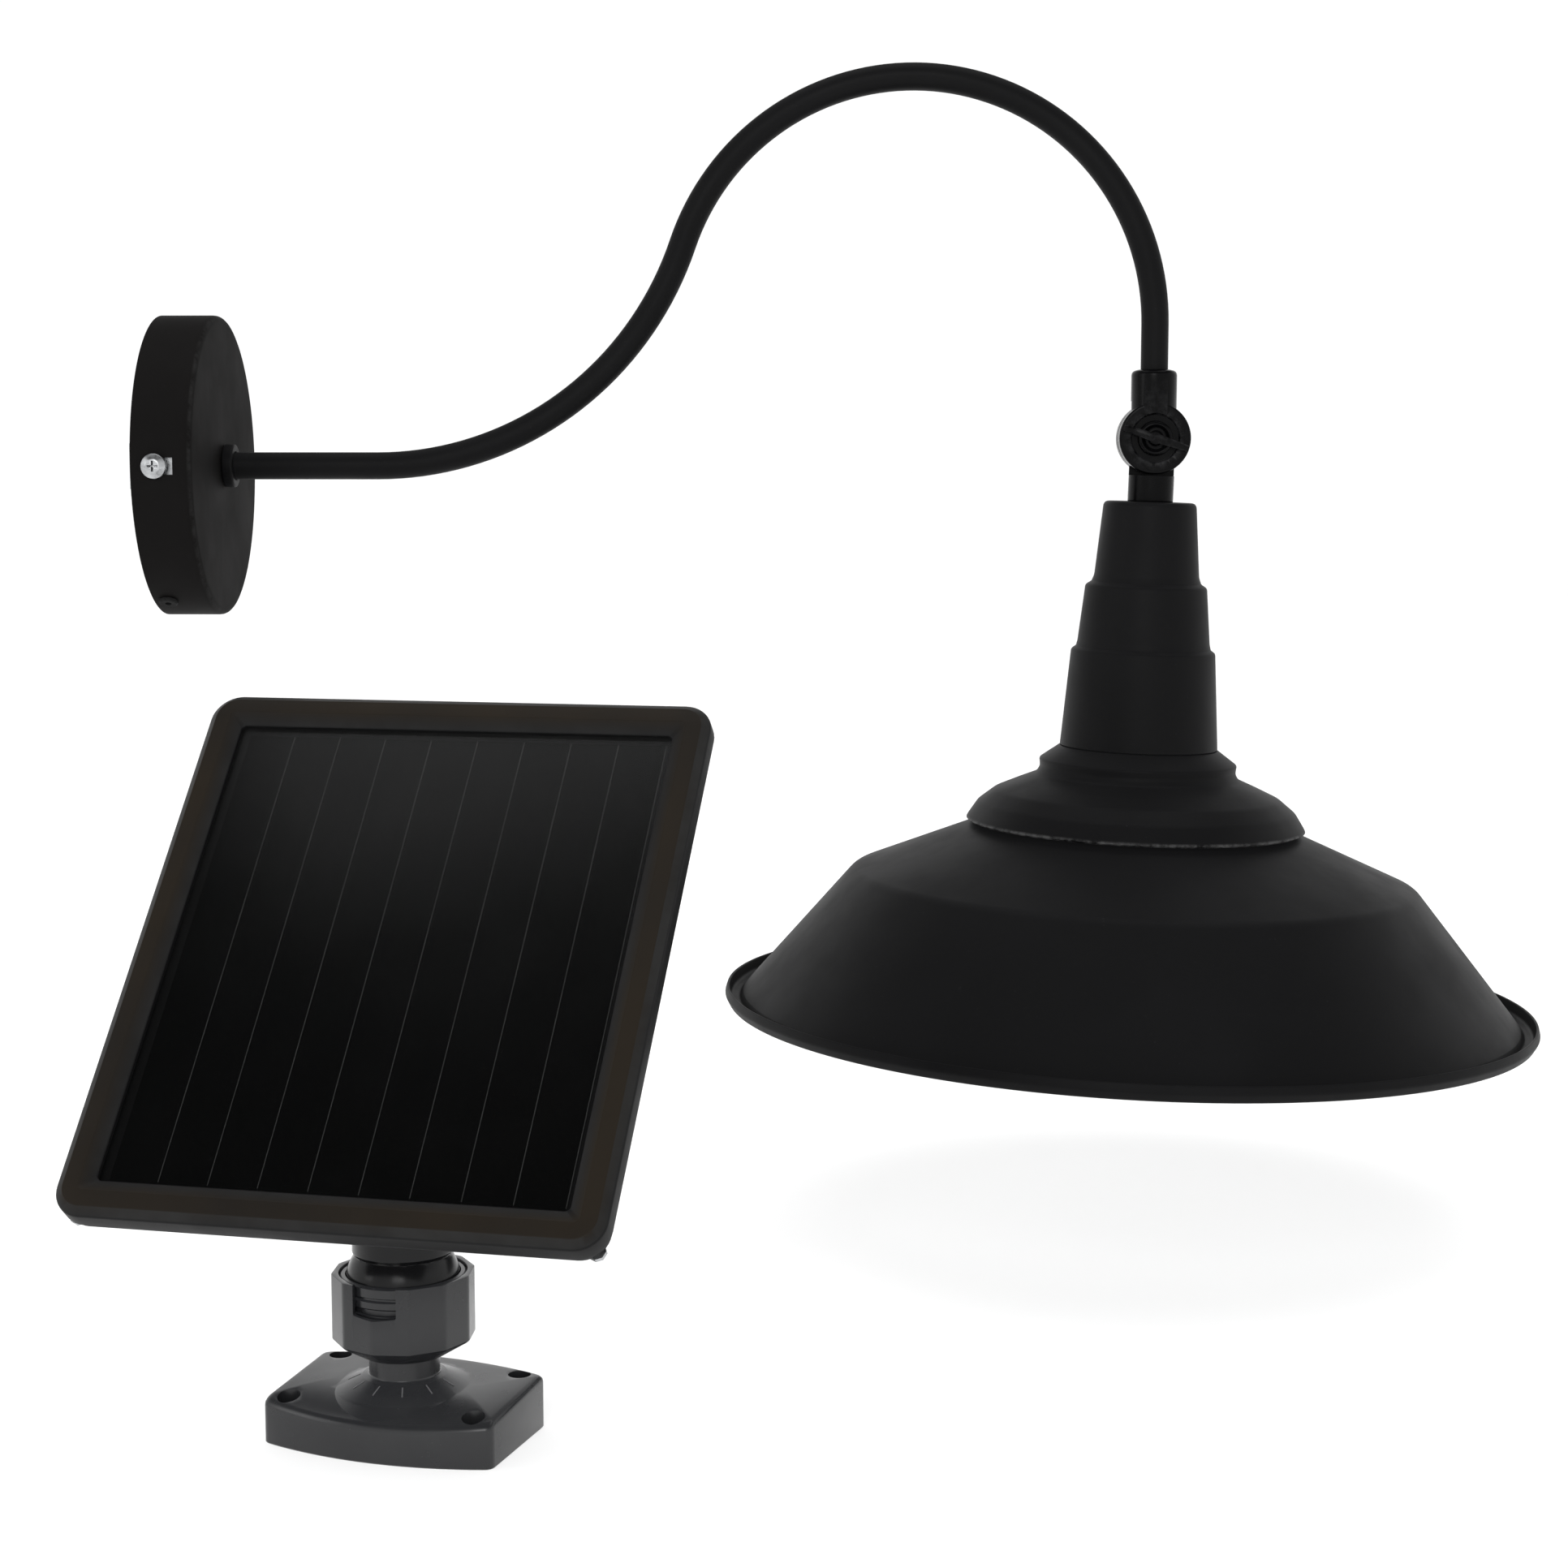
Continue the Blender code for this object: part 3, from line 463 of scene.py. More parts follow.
# a shaded copy of the same powder coat for the canopy: less sheen, so it shows darker, and a warmer base
# colour
SHADED_CANOPY_COAT = powder_coat("canopy_coat", (0.0058, 0.0054, 0.0053), 0.62, 0.03)
CASTING = black_casting()
ZINC = zinc_plate()
BLACK_STEEL = plain_finish("black_steel", (0.010, 0.010, 0.011), 0.34, 0.6, metallic=0.5)
MOUNT = mount_plastic()
BALL = ball_plastic()
BEZEL = bezel_plastic()
REAR = rear_plastic()
RUBBER = soft_rubber()
SILICON = silicon()
GLASS = laminate()
RIBBON = plain_finish("ribbon", (0.10, 0.102, 0.10), 0.45, 0.8)
SHEET = plain_finish("back_sheet", (0.0016, 0.0016, 0.0018), 0.6, 0.7)
# painted highlight: a lighter grey for the raised marks, which are of the base's own plastic
TICK_HIGHLIGHT = plain_finish("tick_marks", (0.075, 0.075, 0.078), 0.4, 0.8)
WHITE = plain_finish("white_plastic", (0.72, 0.72, 0.70), 0.4, 0.92)
DIFFUSER = plain_finish("diffuser", (0.78, 0.79, 0.78), 0.5, 0.93)
BOARD = plain_finish("board", (0.02, 0.14, 0.06), 0.45, 0.6)
LED = plain_finish("led", (0.75, 0.62, 0.18), 0.4, 0.8)
WRAP = plain_finish("cell_wrap", (0.05, 0.14, 0.30), 0.3, 0.8)


def show(obj, body, mat, slot, *nodes):
    """Gives a piece its material and body, and hides the CAD nodes that it stands for. The slot is not used.
    """
    obj.data.materials.clear()
    obj.data.materials.append(mat)
    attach(obj, body)
    if nodes:
        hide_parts(*nodes)
    return obj


def wear_and_highlight(obj, amount, name="wear_and_highlight"):
    """Stores a value for each point under name, from amount(x, y, z) in the piece's own millimetres; by
    default the mask of light edge lines, partly bare metal and partly painted highlight.
    """
    layer = obj.data.attributes.new(name, "FLOAT", "POINT")
    for i, vert in enumerate(obj.data.vertices):
        layer.data[i].value = amount(*(c / MM for c in vert.co))
    return obj


def near(value, centre, width):
    """1 at centre, falling to 0 at width away from it."""
    return max(0.0, 1 - abs(value - centre) / width)


# Wall unit

def canopy():
    """The cup on the wall, with a slot on each side for its screw and a hole for the grommet."""
    profile = [(55, 0.5, 0.3), (55, 22, 2.6), (5.4, 22, 0.3), (5.4, 21), (54, 21, 1.6), (54, 0.5, 0.3)]
    cup = lathe("canopy_shell", profile, OUT, 160)
    tools = [block("slot_tool", (6.5, -60, -3), (15.5, 60, 3)),
             drill("grommet_tool", 2.6, 50, 60, pose((6, 0, 0), (152, 0, 0)))]
    carve(cup, tools)
    shade_smooth(cup)
    # partly bare metal where the paint has come off and partly a painted highlight: a light line round the
    # front's rounded edge
    wear_and_highlight(cup, lambda x, y, z: 0.30 * near(math.hypot(x, y), 54.3, 0.5) * near(z, 21.3, 0.6))
    show(cup, "wall_unit", SHADED_CANOPY_COAT, "black_paint", "canopy_cup")


def side_screws():
    for name, turn in (("near", 90), ("far", -90)):
        where = pose((9.2, 0, 0), (turn, 0, 0))
        profile = [(0, 48), (2.2, 48, 0.2), (2.2, 55.4), (4.5, 55.4, 0.3), (4.5, 57.0, 0.9),
                   (2.4, 58.3, 1.5), (0, 58.4)]
        screw = lathe(f"side_screw_{name}", profile, where, 64, closed=False)
        cross = [(2.3, -.45), (2.3, .45), (.45, .45), (.45, 2.3), (-.45, 2.3), (-.45, .45),
                 (-2.3, .45), (-2.3, -.45), (-.45, -.45), (-.45, -2.3), (.45, -2.3), (.45, -.45)]
        loops = [[(x * k, y * k, z) for x, y in cross] for k, z in ((0.5, 55.9), (1.06, 60))]
        carve(screw, [loft("cross_tool", loops, where=where)])
        break_edges(screw, 0.12)
        show(screw, "wall_unit", ZINC, "zinc", f"canopy_screw_{name}")


def arm_path(count):
    """(x, z, heading) along the gooseneck."""
    reach = math.sqrt((RISE_R + ARCH_R) ** 2 - (RISE_R - ARCH_Z) ** 2)
    arch_x = PIVOT[0] - ARCH_R
    rise_x, sweep = arch_x - reach, math.atan2(reach, RISE_R - ARCH_Z)
    path = [(12.0 + (rise_x - 12.0) * i / 6, 0.0, 0.0) for i in range(6)]
    for i in range(count):
        a = sweep * i / count
        path.append((rise_x + RISE_R * math.sin(a), RISE_R * (1 - math.cos(a)), a))
    for i in range(2 * count + 1):
        a = sweep - (sweep + math.pi / 2) * i / (2 * count)
        path.append((arch_x - ARCH_R * math.sin(a), ARCH_Z + ARCH_R * math.cos(a), a))
    return path + [(PIVOT[0], ARCH_Z - 10, -math.pi / 2), (PIVOT[0], PIVOT[2] + 16, -math.pi / 2)]


def arm():
    """The hollow gooseneck, and the ring that locks it to the canopy."""
    def rounds(radius, stations):
        return [[(x - b * math.sin(a), y, z + b * math.cos(a)) for y, b, _ in circle(radius, 0, 40)]
                for x, z, a in stations]
    path = arm_path(36)
    tube = loft("arm_tube", rounds(TUBE_R, path) + rounds(TUBE_INNER_R, path[::-1]), ring=True)
    show(tube, "wall_unit", COAT, "black_paint", "gooseneck_arm")
    ring = lathe("arm_ring", [(5.3, 22.3), (7.9, 22.3, 0.5), (7.9, 26.2, 0.8), (5.3, 26.2, 0.4)], OUT, 72)
    show(ring, "wall_unit", COAT, "black_metal", "arm_lock_ring")


# Knuckle

def ear(name, side, where):
    """One of the knuckle's two discs, at the front for side 1 and at the back for side -1."""
    section = [(0, 0.25), (EAR_R, 0.25, 0.5), (EAR_R, EAR_DEPTH, 1.0), (0, EAR_DEPTH)]
    profile = [(p[0], side * p[1], *p[2:]) for p in section]
    return lathe(name, profile, pose(turn=(90, 0, 0), base=where), 96, closed=False)


def knuckle_upper():
    where = pose(PIVOT)
    profile = [(0, 0), (STEM_R, 0), (STEM_R, 24.4, 2.6), (5.3, 25.2, 0.4), (5.3, 15.6), (0, 15.6)]
    upper = lathe("knuckle_top", profile, where, 96, closed=False)
    carve(upper, [block("relief", (-20, -0.9, -20), (20, 20, 13.6), where)])
    carve(upper, [ear("upper_disc", 1, where)], "UNION")
    across = pose(turn=(90, 0, 0), base=where)
    dish = [(0, 5.1), (4.9, 5.1, 0.3), (6.3, 6.6, 0.4), (8.5, 6.6, 0.3), (9.1, EAR_DEPTH, 0.2),
            (10.5, 20), (0, 20)]
    carve(upper, [drill("bore", 2.8, -20, 20, across), lathe("dish", dish, across, 96, closed=False)])
    break_edges(upper, 0.3)
    # painted highlight: a light ring at the edge of the dish on the front disc
    wear_and_highlight(upper, lambda x, y, z: 0.5 * near(math.hypot(x, z), 8.9, 0.5) * (y < -6.2))
    show(upper, "wall_unit", CASTING, "black_cast", "knuckle_upper")


def knuckle_lower():
    profile = [(0, 0), (STEM_R, 0), (STEM_R, -23.0, 0.5), (7.9, -23.5), (5.0, -23.5), (5.0, -40, 0.4),
               (3.2, -40), (3.2, -20), (0, -20)]
    lower = lathe("knuckle_stub", profile, HEAD, 96, closed=False)
    carve(lower, [block("relief", (-20, -20, -13.6), (20, 0.9, 20), HEAD)])
    carve(lower, [ear("lower_disc", -1, HEAD)], "UNION")
    across = pose(turn=(90, 0, 0), base=HEAD)
    carve(lower, [drill("bore", 2.8, -20, 20, across), drill("seat", 7.4, -20, -EAR_DEPTH, across)])
    break_edges(lower, 0.3)
    show(lower, "lamp_head", CASTING, "black_cast", "knuckle_lower")


def thumb_screw():
    turn = pose(turn=(90, 18, 0), base=pose(PIVOT))
    shank = [(0, -13.5), (2.5, -13.5, 0.3), (2.5, 5.6), (4.4, 5.6, 0.3), (6.3, 7.2, 0.5), (6.2, 8.3, 0.8),
             (5.2, 8.9, 0.7), (4.0, 7.9, 1.2), (2.9, 7.9, 0.5), (2.2, 9.2, 0.5), (0, 9.2)]
    screw = lathe("thumb_screw", shank, turn, 64, closed=False)
    half = [(12.4, 8.8), (12.5, 9.6), (10.5, 10.9), (6.0, 12.0)]
    wing = half + [(0, 12.2)] + [(-x, z) for x, z in half[::-1]]
    loops = []
    for side, narrower, lower in ((-1, 0.985, 0.25), (-0.55, 1, 0), (0.55, 1, 0), (1, 0.985, 0.25)):
        loops.append([(x * narrower, side * (1.65 - 0.55 * abs(x) / 12.5), z - lower * (z > 9))
                      for x, z in wing])
    carve(screw, [loft("blade", loops, where=turn)], "UNION")
    shade_smooth(screw, 30)
    # painted highlight: light lines along both edges of the wing's top
    wear_and_highlight(screw, lambda x, y, z: 0.5 * (z > 9.2) * near(abs(y), 1.25, 0.6))
    show(screw, "thumb_screw", CASTING, "black_metal", "knuckle_thumb_screw")


# Lamp head

def cone_top(radius):
    """The height of the shade's upper cone above its rim."""
    return CONE_U + CONE_SLOPE * (CONE_R - radius)


def neck():
    outside = [(5.4, 188.3, 0.2), (17.0, 188.3, 2.2), (19.3, 161.0, 6.0), (20.2, 158.6, 1.2),
               (22.4, 157.2, 1.8), (24.4, 136.4, 5.0), (24.9, 134.4, 0.8), (26.6, 133.2, 1.6),
               (29.2, 97.5, 0.2)]
    inside = [(27.0, 97.5), (24.9, 129.8, 1), (22.8, 132.6, 1), (21.2, 153.4, 1), (17.8, 156.2, 1),
              (15.2, 186.0), (5.4, 186.0)]
    cover = lathe("neck_shell", outside + inside, RIM, 128)
    show(cover, "lamp_head", COAT, "black_paint", "neck_cover")


def screw_spots():
    """The three screws that hold the cap, the shade and the module together."""
    angles = [math.radians(HEAD_SCREW_TURN + 120 * i) for i in range(3)]
    return [(HEAD_SCREW_R * math.cos(a), HEAD_SCREW_R * math.sin(a), 0) for a in angles]


def cap():
    outside = [(22.0, 97.2), (29.4, 97.2, 0.8), (36.6, 92.0, 1.2), (36.2, 89.0, 3.0), (37.4, 86.6, 3.5),
               (45.0, 83.4, 9.0), (53.0, 79.8, 9.0), (59.0, 75.0, 7.0), (62.4, 69.7), (62.9, 68.7, 0.2)]
    inside = [(62.0, 68.0, 0.2), (58.9, 72.6, 4.0), (46.0, 80.4, 4.0), (36.5, 82.6),
              (36.5, cone_top(36.5) + 0.3), (26.0, cone_top(26.0) + 0.3), (26.0, 95.6), (22.0, 95.6)]
    dome = lathe("cap_dome", outside + inside, RIM, 160)
    carve(dome, drills("cap_hole", 2.3, 40, 89, screw_spots(), RIM))
    shade_smooth(dome)
    # partly bare metal where the paint has come off and partly a painted highlight: a light line along the
    # cap's lower edge
    wear_and_highlight(dome, lambda x, y, z: near(z, 68.4, 0.8) * (math.hypot(x, y) > 61.8))
    show(dome, "lamp_head", COAT, "black_cast", "shade_cap")


def shade():
    top = cone_top(24.0)
    outside = [(24.0, top), (CONE_R, CONE_U), (104.8, 48.4, 9.0), (144.3, 0.8, 0.6), (145.6, -1.6, 1.2),
               (148.9, -1.3, 1.6), (149.6, 2.8, 0.3), (150.4, 3.1, 0.4), (151.2, 0.2, 1.6)]
    inside = [(149.4, -3.05, 1.6), (144.8, -2.7, 1.5), (142.9, 0.0, 0.8), (104.2, 46.9, 8.0),
              (CONE_R, CONE_U - 1.0), (24.0, top - 1.0)]
    bell = lathe("shade_bell", outside + inside, RIM, 192)
    carve(bell, drills("shade_hole", 2.3, 40, 95, screw_spots(), RIM))
    shade_smooth(bell)
    show(bell, "lamp_head", COAT, "black_paint", "shade")


def module():
    """The light module inside the shade: housing, ring, rippled lens and the button in its middle."""
    out, inner = cone_top(36.5) - 1.3, cone_top(26.0) - 1.3
    profile = [(26, inner), (36.5, out), (36.5, 63.5, 0.5), (58, 63.5, 1.4), (58, 50, 0.3), (56, 50),
               (56, 61.5, 0.6), (26, 61.5)]
    housing = lathe("module_shell", profile, RIM, 128)
    carve(housing, drills("module_hole", 2.3, 40, 95, screw_spots(), RIM))
    shade_smooth(housing)
    show(housing, "lamp_head", COAT, "black_cast", "module_housing")
    ring = [(51, 48.2, 0.5), (58, 48.2, 0.6), (58, 49.7), (55.5, 49.7), (55.5, 50.7), (51, 50.7)]
    show(lathe("module_ring", ring, RIM, 128), "lamp_head", COAT, "black_cast", "lens_ring")
    hole, width, low, waves = 9.2, 46.3, 51.0, 20
    lens = [(hole, low, 0.2)]
    lens += [(hole + width * (i + 0.5) / waves, low + (0.25 if i % 2 else 0), 0.3) for i in range(waves)]
    lens += [(hole + width, low, 0.1), (hole + width, 52.8), (hole, 52.8)]
    show(lathe("module_lens", lens, RIM, 128), "lamp_head", DIFFUSER, "diffuser", "diffuser_lens")
    button = [(0, 48.75), (2.6, 48.9, 0.8), (4.6, 48.9, 0.5), (5.0, 49.5), (5.0, 51.7), (6.0, 51.7),
              (6.0, 56.5), (0, 56.5)]
    show(lathe("button_cap", button, RIM, 48, closed=False), "button", RUBBER, "rubber", "power_button")


# Panel unit

def bowed_outline(height, inset=0.0, steps=24):
    """The base's outline: straight ends, bowed front and back, rounded corners."""
    half_w, half_d = BASE_W / 2 - inset, BASE_D / 2 - inset
    path = [(-half_w, -half_d, 3.0)]
    for i in range(2, steps - 1):
        x = -half_w + 2 * half_w * i / steps
        path.append((x, -half_d - BASE_BOW * (1 - (x / half_w) ** 2), 0))
    path += [(half_w, -half_d, 3.0)]
    loop = soften(path + [(-x, -y, r) for x, y, r in path], True, 4)
    return [(x, y, height) for x, y in loop]


def crown(y):
    """The height of the base's top, flat at the back and falling away to the front."""
    return CROWN_U - (CROWN_R - math.sqrt(CROWN_R ** 2 - min(y, 0) ** 2))


def base():
    """The block with four screw holes, and the boss and stem that carry the socket of the ball."""
    def skin(inset, drop=0.0):
        return [(x, y, crown(y) - drop) for x, y, _ in bowed_outline(0, inset)]
    edge = 2.0
    turns = [math.radians(a) for a in range(0, 91, 15)]
    loops = [bowed_outline(0, 0.3), bowed_outline(0.4)]
    loops += [skin(edge * (1 - math.cos(a)), edge * (1 - math.sin(a))) for a in turns]
    loops += [skin(edge + 2.0 * i) for i in range(1, 8)]
    body = loft("base_block", loops, where=FOOT)
    cup = [(0, 6), (24.5, 6), (24.5, 10.6), (20.5, 15.2, 3.0), (12.4, 18.8, 0.8), (10.4, 19.2, 0.8),
           (10.4, 28.0, 1), (17.8, 34.5, 1), (17.8, 41.0)]
    socket = [(SOCKET_R, a) for a in (73.2, 66, 59, 52, 45)] + [(18.4, a) for a in (45, 36, 27, 18, 9, 0)]
    cup += [(r * math.sin(math.radians(a)), BALL_U - r * math.cos(math.radians(a))) for r, a in socket]
    carve(body, [lathe("neck_tool", cup, FOOT, 96, closed=False)], "UNION")
    hole = [(0, -5), (2.2, -5), (2.2, 8.0), (3.4, 8.6), (3.4, 30), (0, 30)]
    carve(body, [lathe(f"hole_{x}_{y}", hole, pose((x, y, 0), base=FOOT), 48, closed=False)
                 for y in (-16.5, 16.5) for x in (-29.5, 29.5)])
    break_edges(body, 0.6, 3, 28)
    show(body, "wall_unit", MOUNT, "mount_plastic", "panel_base")
    tick_marks()


def tick_marks():
    """Plain raised marks around the boss, which show how far the arm is turned, painted a lighter grey than
    the base's plastic as a painted highlight on their ridges.
    """
    first, step, count = -160, 31, 6
    corners = [(r, side, z + lift) for r, z in ((13.0, 18.53), (16.6, 16.93))
               for side, lift in ((-0.2, -0.3), (0.2, -0.3), (0.2, 0.12), (-0.2, 0.12))]
    spins = [Matrix.Rotation(math.radians(first + step * k), 3, "Z") for k in range(count)]
    marks = [[tuple(spin @ Vector(corner)) for corner in corners] for spin in spins]
    show(bars("base_ticks", marks, FOOT), "wall_unit", TICK_HIGHLIGHT, "mount_plastic")


def clamp():
    """The twelve-sided collar that squeezes the socket onto the ball."""
    count = 180
    loops = [flats_loop(apothem, 12, z, count) for apothem, z in ((20.3, 50), (20.3, 30.6), (19.4, 29.8))]
    loops += [circle(r, z, count) for r, z in ((13.6, 26.0), (13.0, 25.6), (11.0, 25.6), (11.0, 27.0),
                                               (18.8, 33.9), (18.8, 50))]
    collar = loft("collar_ring", loops, ring=True, where=FOOT, sharp=18)
    outline = [(-6.8, 54), (-6.8, 41.2, 0.8), (0, 40.4, 30), (6.8, 41.2, 0.8), (6.8, 54)]
    notch = loft("notch", [[(x, y, z) for x, z in soften(outline, False)] for y in (-40, 40)], where=FOOT)
    carve(collar, [notch])
    break_edges(collar, 0.3, 2, 24)
    show(collar, "collar", MOUNT, "mount_plastic", "clamp_collar")


def collet():
    def bore(height):
        return math.sqrt(SOCKET_R ** 2 - (height - BALL_U) ** 2)
    profile = [(17.6, 41.4), (17.6, 42.9, 0.2), (18.5, 43.3, 0.3), (18.5, 45.3, 0.3), (17.6, 45.6, 0.2),
               (17.6, 46.2, 0.2), (18.5, 46.5, 0.3), (18.5, 49.1, 0.3), (18.0, 49.6, 0.2)]
    profile += [(bore(h), h) for h in (49.6, 48.4, 47.2, 46.0, 44.8, 43.2, 41.4)]
    show(lathe("collet_ring", profile, FOOT, 96), "socket_ring", MOUNT, "mount_plastic", "ball_collet")


def pad_spots():
    """The four screws that hold the arm to the panel's back."""
    half_w, half_h = 19.0, 15.0
    return [(sx * half_w, PAD_AT[1] + sy * half_h, 0) for sx in (-1, 1) for sy in (-1, 1)]


def ball_arm():
    """The ball, its upright stem and the pad behind the panel, as one moulding."""
    upright = pose(turn=(-TILT, 0, 0), base=TILTED)
    angles = [math.pi * i / 48 for i in range(1, 48)]
    ball = [(0, -BALL_R)] + [(BALL_R * math.sin(a), -BALL_R * math.cos(a)) for a in angles] + [(0, BALL_R)]
    piece = lathe("stem_ball", ball, upright, 96, closed=False)
    stem = [(0, 2), (13.9, 8.6), (14.8, 10.4, 1.0), (14.4, 28.0, 8), (10.2, 40.0, 8), (9.8, 84.0), (0, 84.0)]
    carve(piece, [lathe("stem", stem, upright, 96, closed=False)], "UNION")
    back = TRAY_BACK - 0.3
    pad = [rounded_rect(48, 42, 5, z) for z in (back - 3.4, back + 1)]
    carve(piece, [loft("pad", pad, where=pose(PAD_AT, base=FACE))], "UNION")
    trim = block("trim", (-60, -70, back), (60, 60, 60), FACE)
    carve(piece, [trim] + drills("pad_hole", 2.0, -30, -5, pad_spots(), FACE))
    break_edges(piece, 0.4, 2, 35)
    show(piece, "panel", BALL, "ball_plastic", "ball_arm")


def panel_loop(inset, height, steps=10):
    return rounded_rect(PANEL_W - 2 * inset, PANEL_H - 2 * inset, max(PANEL_R - inset, 1.6), height, steps)


def corner_spots():
    """The four screws at the panel's corners, which hold its tray to its frame."""
    x, y = PANEL_W / 2 - CORNER_INSET, PANEL_H / 2 - CORNER_INSET
    return [(sx * x, sy * y, 0) for sx in (-1, 1) for sy in (-1, 1)]


def bezel():
    section = [(0.6, 0, 0.4), (0, 0.6, 0.4), (0, 6.0, 1.2), (2.6, 8.0, 0.5), (7.3, 8.4, 0.4),
               (10.9, 6.4, 0.3), (11.3, 6.1, 0.2), (11.3, 4.9), (6.0, 4.9), (6.0, 0)]
    path = soften(section, True, 3)
    rim = loft("bezel_frame", [panel_loop(inset, z) for inset, z in path], ring=True, where=FACE)
    carve(rim, drills("bezel_hole", 1.5, -5, 4.4, corner_spots(), FACE, 16))
    shade_smooth(rim)

    # painted highlight: full on the outer chamfer, weaker on the inner slope
    def chamfer_highlight(x, y, z):
        inset = min(PANEL_W / 2 - abs(x), PANEL_H / 2 - abs(y))
        on_chamfer = 6.2 < z < 7.95 and inset < 3.4
        on_inner_slope = z < 8.2 and 8.6 < inset < 11.0
        return 1.0 * on_chamfer + 0.6 * on_inner_slope
    wear_and_highlight(rim, chamfer_highlight)
    wear_and_highlight(rim, lambda x, y, z: 1.0 * (z > 7.9), "front")
    show(rim, "panel", BEZEL, "panel_plastic", "panel_frame")


def tray():
    section = [(1.0, -0.3), (1.0, -2.3, 0.3), (8.5, -2.3, 0.3), (8.5, -8.0, 1.0), (12.0, TRAY_BACK, 1.2)]
    outer = [panel_loop(inset, z) for inset, z in soften(section, False, 3)]
    shell = loft("tray_shell", outer, where=FACE)
    cavity = [panel_loop(inset, z) for inset, z in ((13.6, TRAY_BACK + 2), (10.4, -7.4), (10.4, 5))]
    tools = [loft("cavity", cavity, where=FACE), drill("gland_hole", 4.3, -20, 5, pose(GLAND_AT, base=FACE))]
    tools += drills("flange", 1.6, -20, 5, corner_spots(), FACE, 20)
    tools += drills("tray", 2.0, -20, 5, pad_spots(), FACE)
    carve(shell, tools)
    break_edges(shell, 0.4, 2, 35, keep_flats=True)
    show(shell, "panel", REAR, "panel_plastic", "rear_housing")


def gland():
    profile = [(2.0, -24.0, 0.2), (3.4, -24.0, 0.4), (3.8, -19.5, 0.3), (6.4, -19.0, 0.5), (6.4, -13.3, 0.3),
               (4.0, -13.3), (4.0, -9.6), (2.0, -9.6)]
    body = lathe("gland_body", profile, pose(GLAND_AT, base=FACE), 48)
    show(body, "panel", RUBBER, "rubber", "cable_gland")


def cells():
    """The thin ribbon beside each dark strip, and the clear cover over them all."""
    half, reach, ribbons = 0.12, 76.2, []
    for i in range(CELLS):
        x = (i - CELLS // 2) * CELL_PITCH + CELL_W / 2 + 0.2
        ribbons.append([(x + dx, y, z) for z in (3.34, 3.44) for dx, y in
                        ((-half, -reach), (half, -reach), (half, reach), (-half, reach))])
    show(bars("cell_ribbons", ribbons, FACE), "panel", RIBBON, "cell")
    pane = [panel_loop(inset, z, 6) for inset, z in ((6.4, 3.6), (6.4, 4.6))]
    show(loft("cover_sheet", pane, where=FACE), "panel", GLASS, "panel_glass", "panel_glass")


def repaint_the_rest():
    """Gives every CAD node that is still shown the procedural material of its slot."""
    finishes = {"zinc": ZINC, "black_metal": BLACK_STEEL, "rubber": RUBBER, "cell_wrap": WRAP, "board": BOARD,
                "led_board": WHITE, "led_chip": LED, "white_plastic": WHITE, "ball_plastic": BALL,
                "back_sheet": SHEET, "cell": SILICON}
    for part in frame["record"]["subparts"]:
        node = NODES[part["node"]]
        if not node.hide_render:
            node.data.materials.clear()
            node.data.materials.append(finishes[part["material_slot"]])


# Stage

def light(name, at, aim, size, power, height=None, kind="AREA"):
    data = bpy.data.lights.new(name, kind)
    if kind == "AREA":
        data.shape, data.size, data.size_y = "RECTANGLE", size, height or size
    data.energy = power
    obj = bpy.data.objects.new(name, data)
    bpy.context.scene.collection.objects.link(obj)
    obj.location = at
    obj.rotation_euler = (Vector(aim) - Vector(at)).to_track_quat("-Z", "Y").to_euler()
    return obj


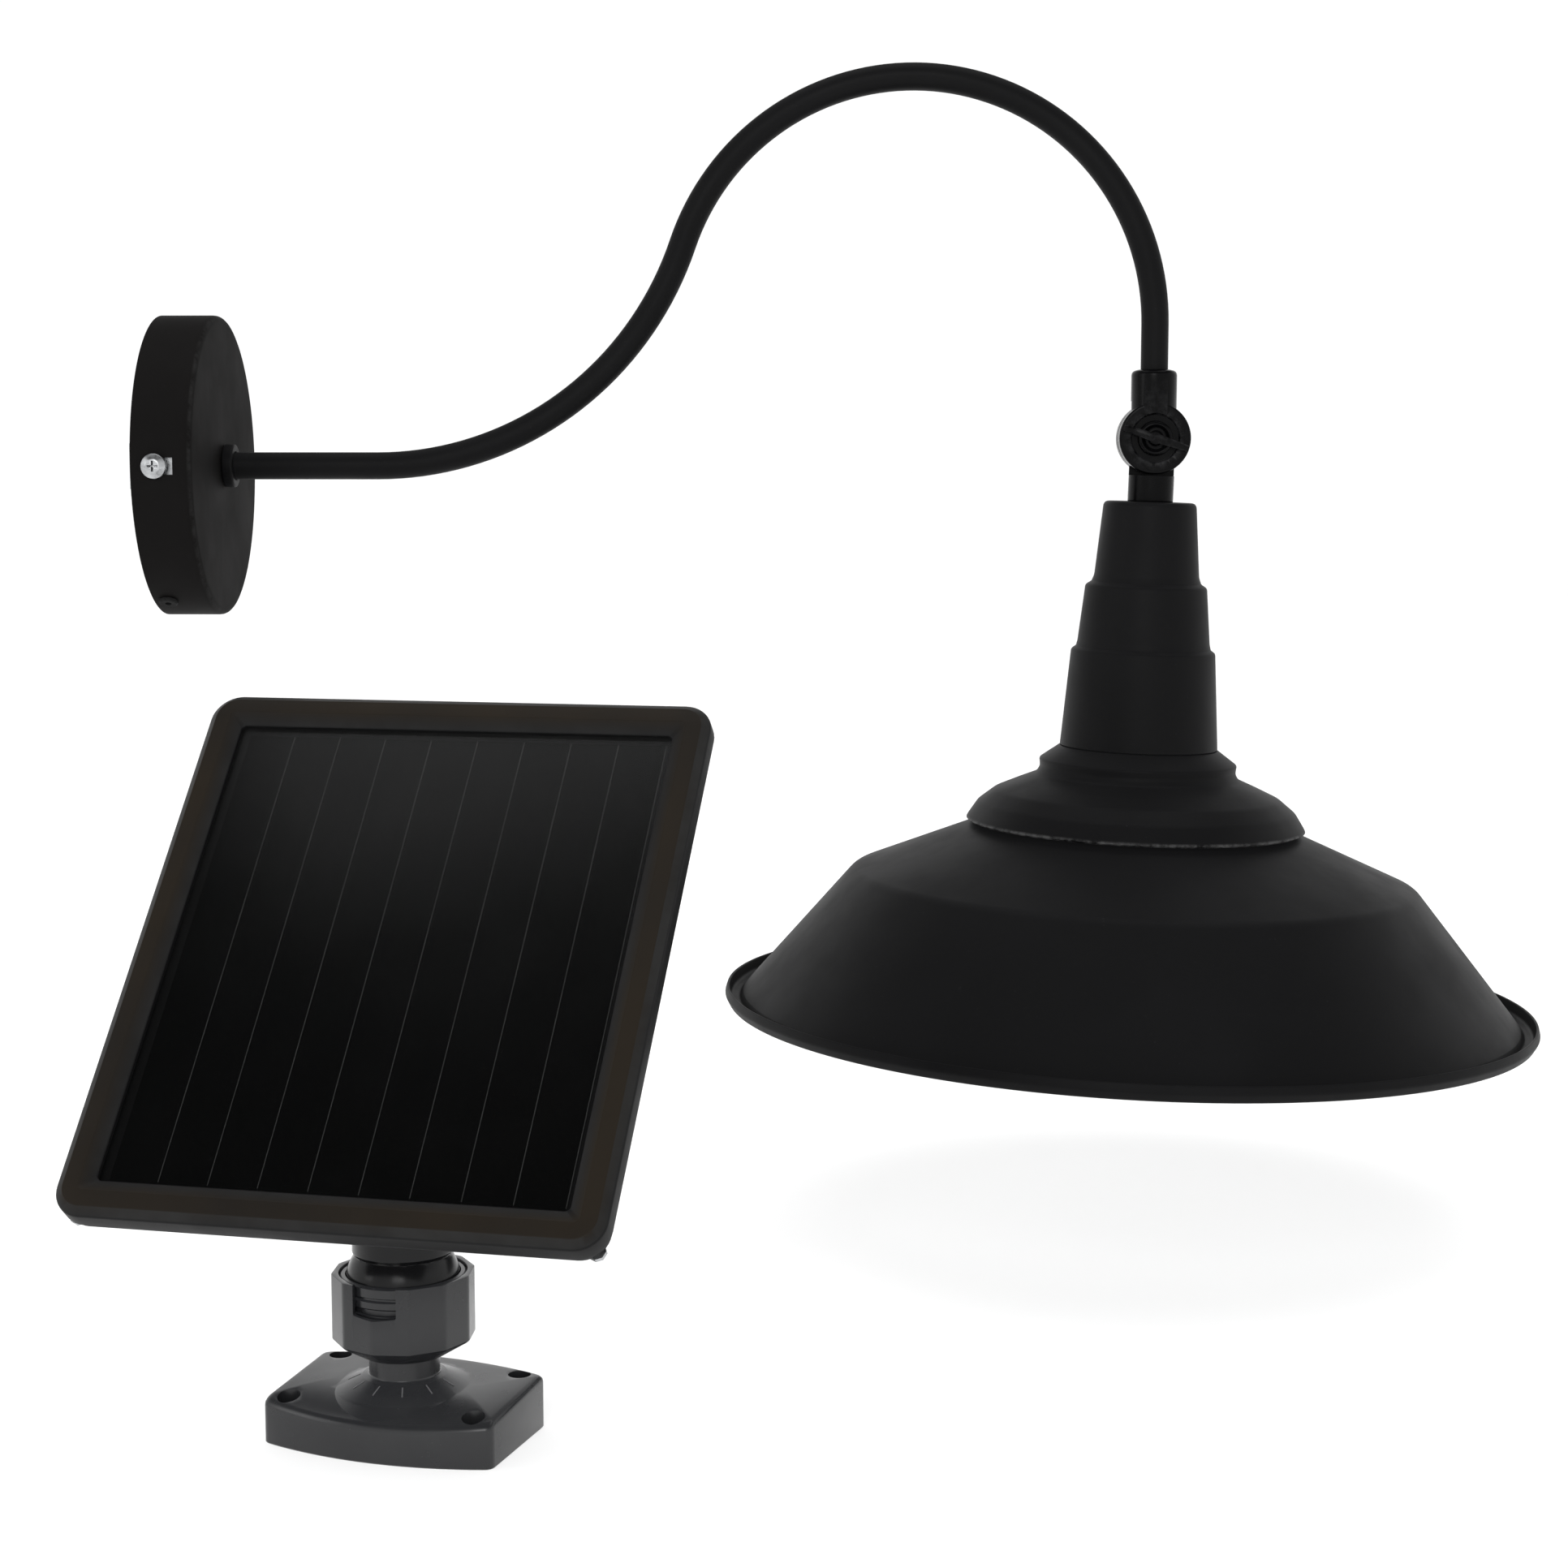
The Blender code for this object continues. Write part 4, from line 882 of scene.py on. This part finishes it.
def studio_walls():
    """A world that is white all round at the walls and dim towards the ceiling."""
    world = bpy.data.worlds.new("studio")
    bpy.context.scene.world = world
    world.use_nodes = True
    nodes, links = world.node_tree.nodes, world.node_tree.links
    split = nodes.new("ShaderNodeSeparateXYZ")
    fade = nodes.new("ShaderNodeMapRange")
    fade.interpolation_type = "SMOOTHSTEP"
    for key, number in (("From Min", 0.38), ("From Max", 0.80), ("To Min", 1.04), ("To Max", 0.06)):
        fade.inputs[key].default_value = number
    links.new(nodes.new("ShaderNodeTexCoord").outputs["Generated"], split.inputs["Vector"])
    links.new(split.outputs["Z"], fade.inputs["Value"])
    links.new(fade.outputs["Result"], nodes["Background"].inputs["Strength"])
    nodes["Background"].inputs["Color"].default_value = (1, 1, 1, 1)


def white_floor():
    far = 6e4
    corners = [(-far, -far, 0), (far, -far, 0), (far, far, 0), (-far, far, 0)]
    floor = mesh_piece("floor", corners, [(0, 1, 2, 3)], pose((0, 0, BASE_AT[2])))
    paint = Finish("floor_paint", (0.9, 0.9, 0.9), 0.9, Specular_IOR_Level=0.1)
    paint.tint(paint.remap(paint.noise(2.0, 3), 0.4, 0.7), (0.885, 0.885, 0.885))
    floor.data.materials.append(paint.mat)


def lights():
    """Soft boxes, and two lights without shadows that keep the floor white."""
    overhead = light("overhead", (0.25, 0.20, 1.7), (0.25, 0.20, 0.0), 2.2, 10.5, height=1.55)
    overhead.data.use_shadow = False
    light("front_box", (0.1, -1.9, 0.75), (0.25, 0.0, -0.05), 0.7, 7.5, height=0.9)
    light("left_box", (-1.5, -0.9, 0.6), (0.1, 0.0, 0.0), 0.6, 3.0, height=1.0)
    wash = light("floor_wash", (0, 0, 3), (0, 0, 0), 0, 2.4, kind="SUN")
    wash.data.angle, wash.data.use_shadow = math.radians(60), False
    wash.visible_glossy = False


def camera():
    data = bpy.data.cameras.new("camera")
    data.sensor_width, data.lens = 36.0, 63.35
    data.clip_start, data.clip_end = 0.01, 200.0
    obj = bpy.data.objects.new("camera", data)
    bpy.context.scene.collection.objects.link(obj)
    obj.location = (0.2487, -1.026, 0.0022)
    obj.rotation_euler = [math.radians(a) for a in (83.3, 0.0, 1.08)]
    bpy.context.scene.camera = obj
    bpy.context.scene.view_settings.view_transform = "Standard"


canopy()
side_screws()
arm()
knuckle_upper()
knuckle_lower()
thumb_screw()
neck()
cap()
shade()
module()
base()
clamp()
collet()
ball_arm()
bezel()
tray()
gland()
cells()
repaint_the_rest()
white_floor()
studio_walls()
lights()
camera()
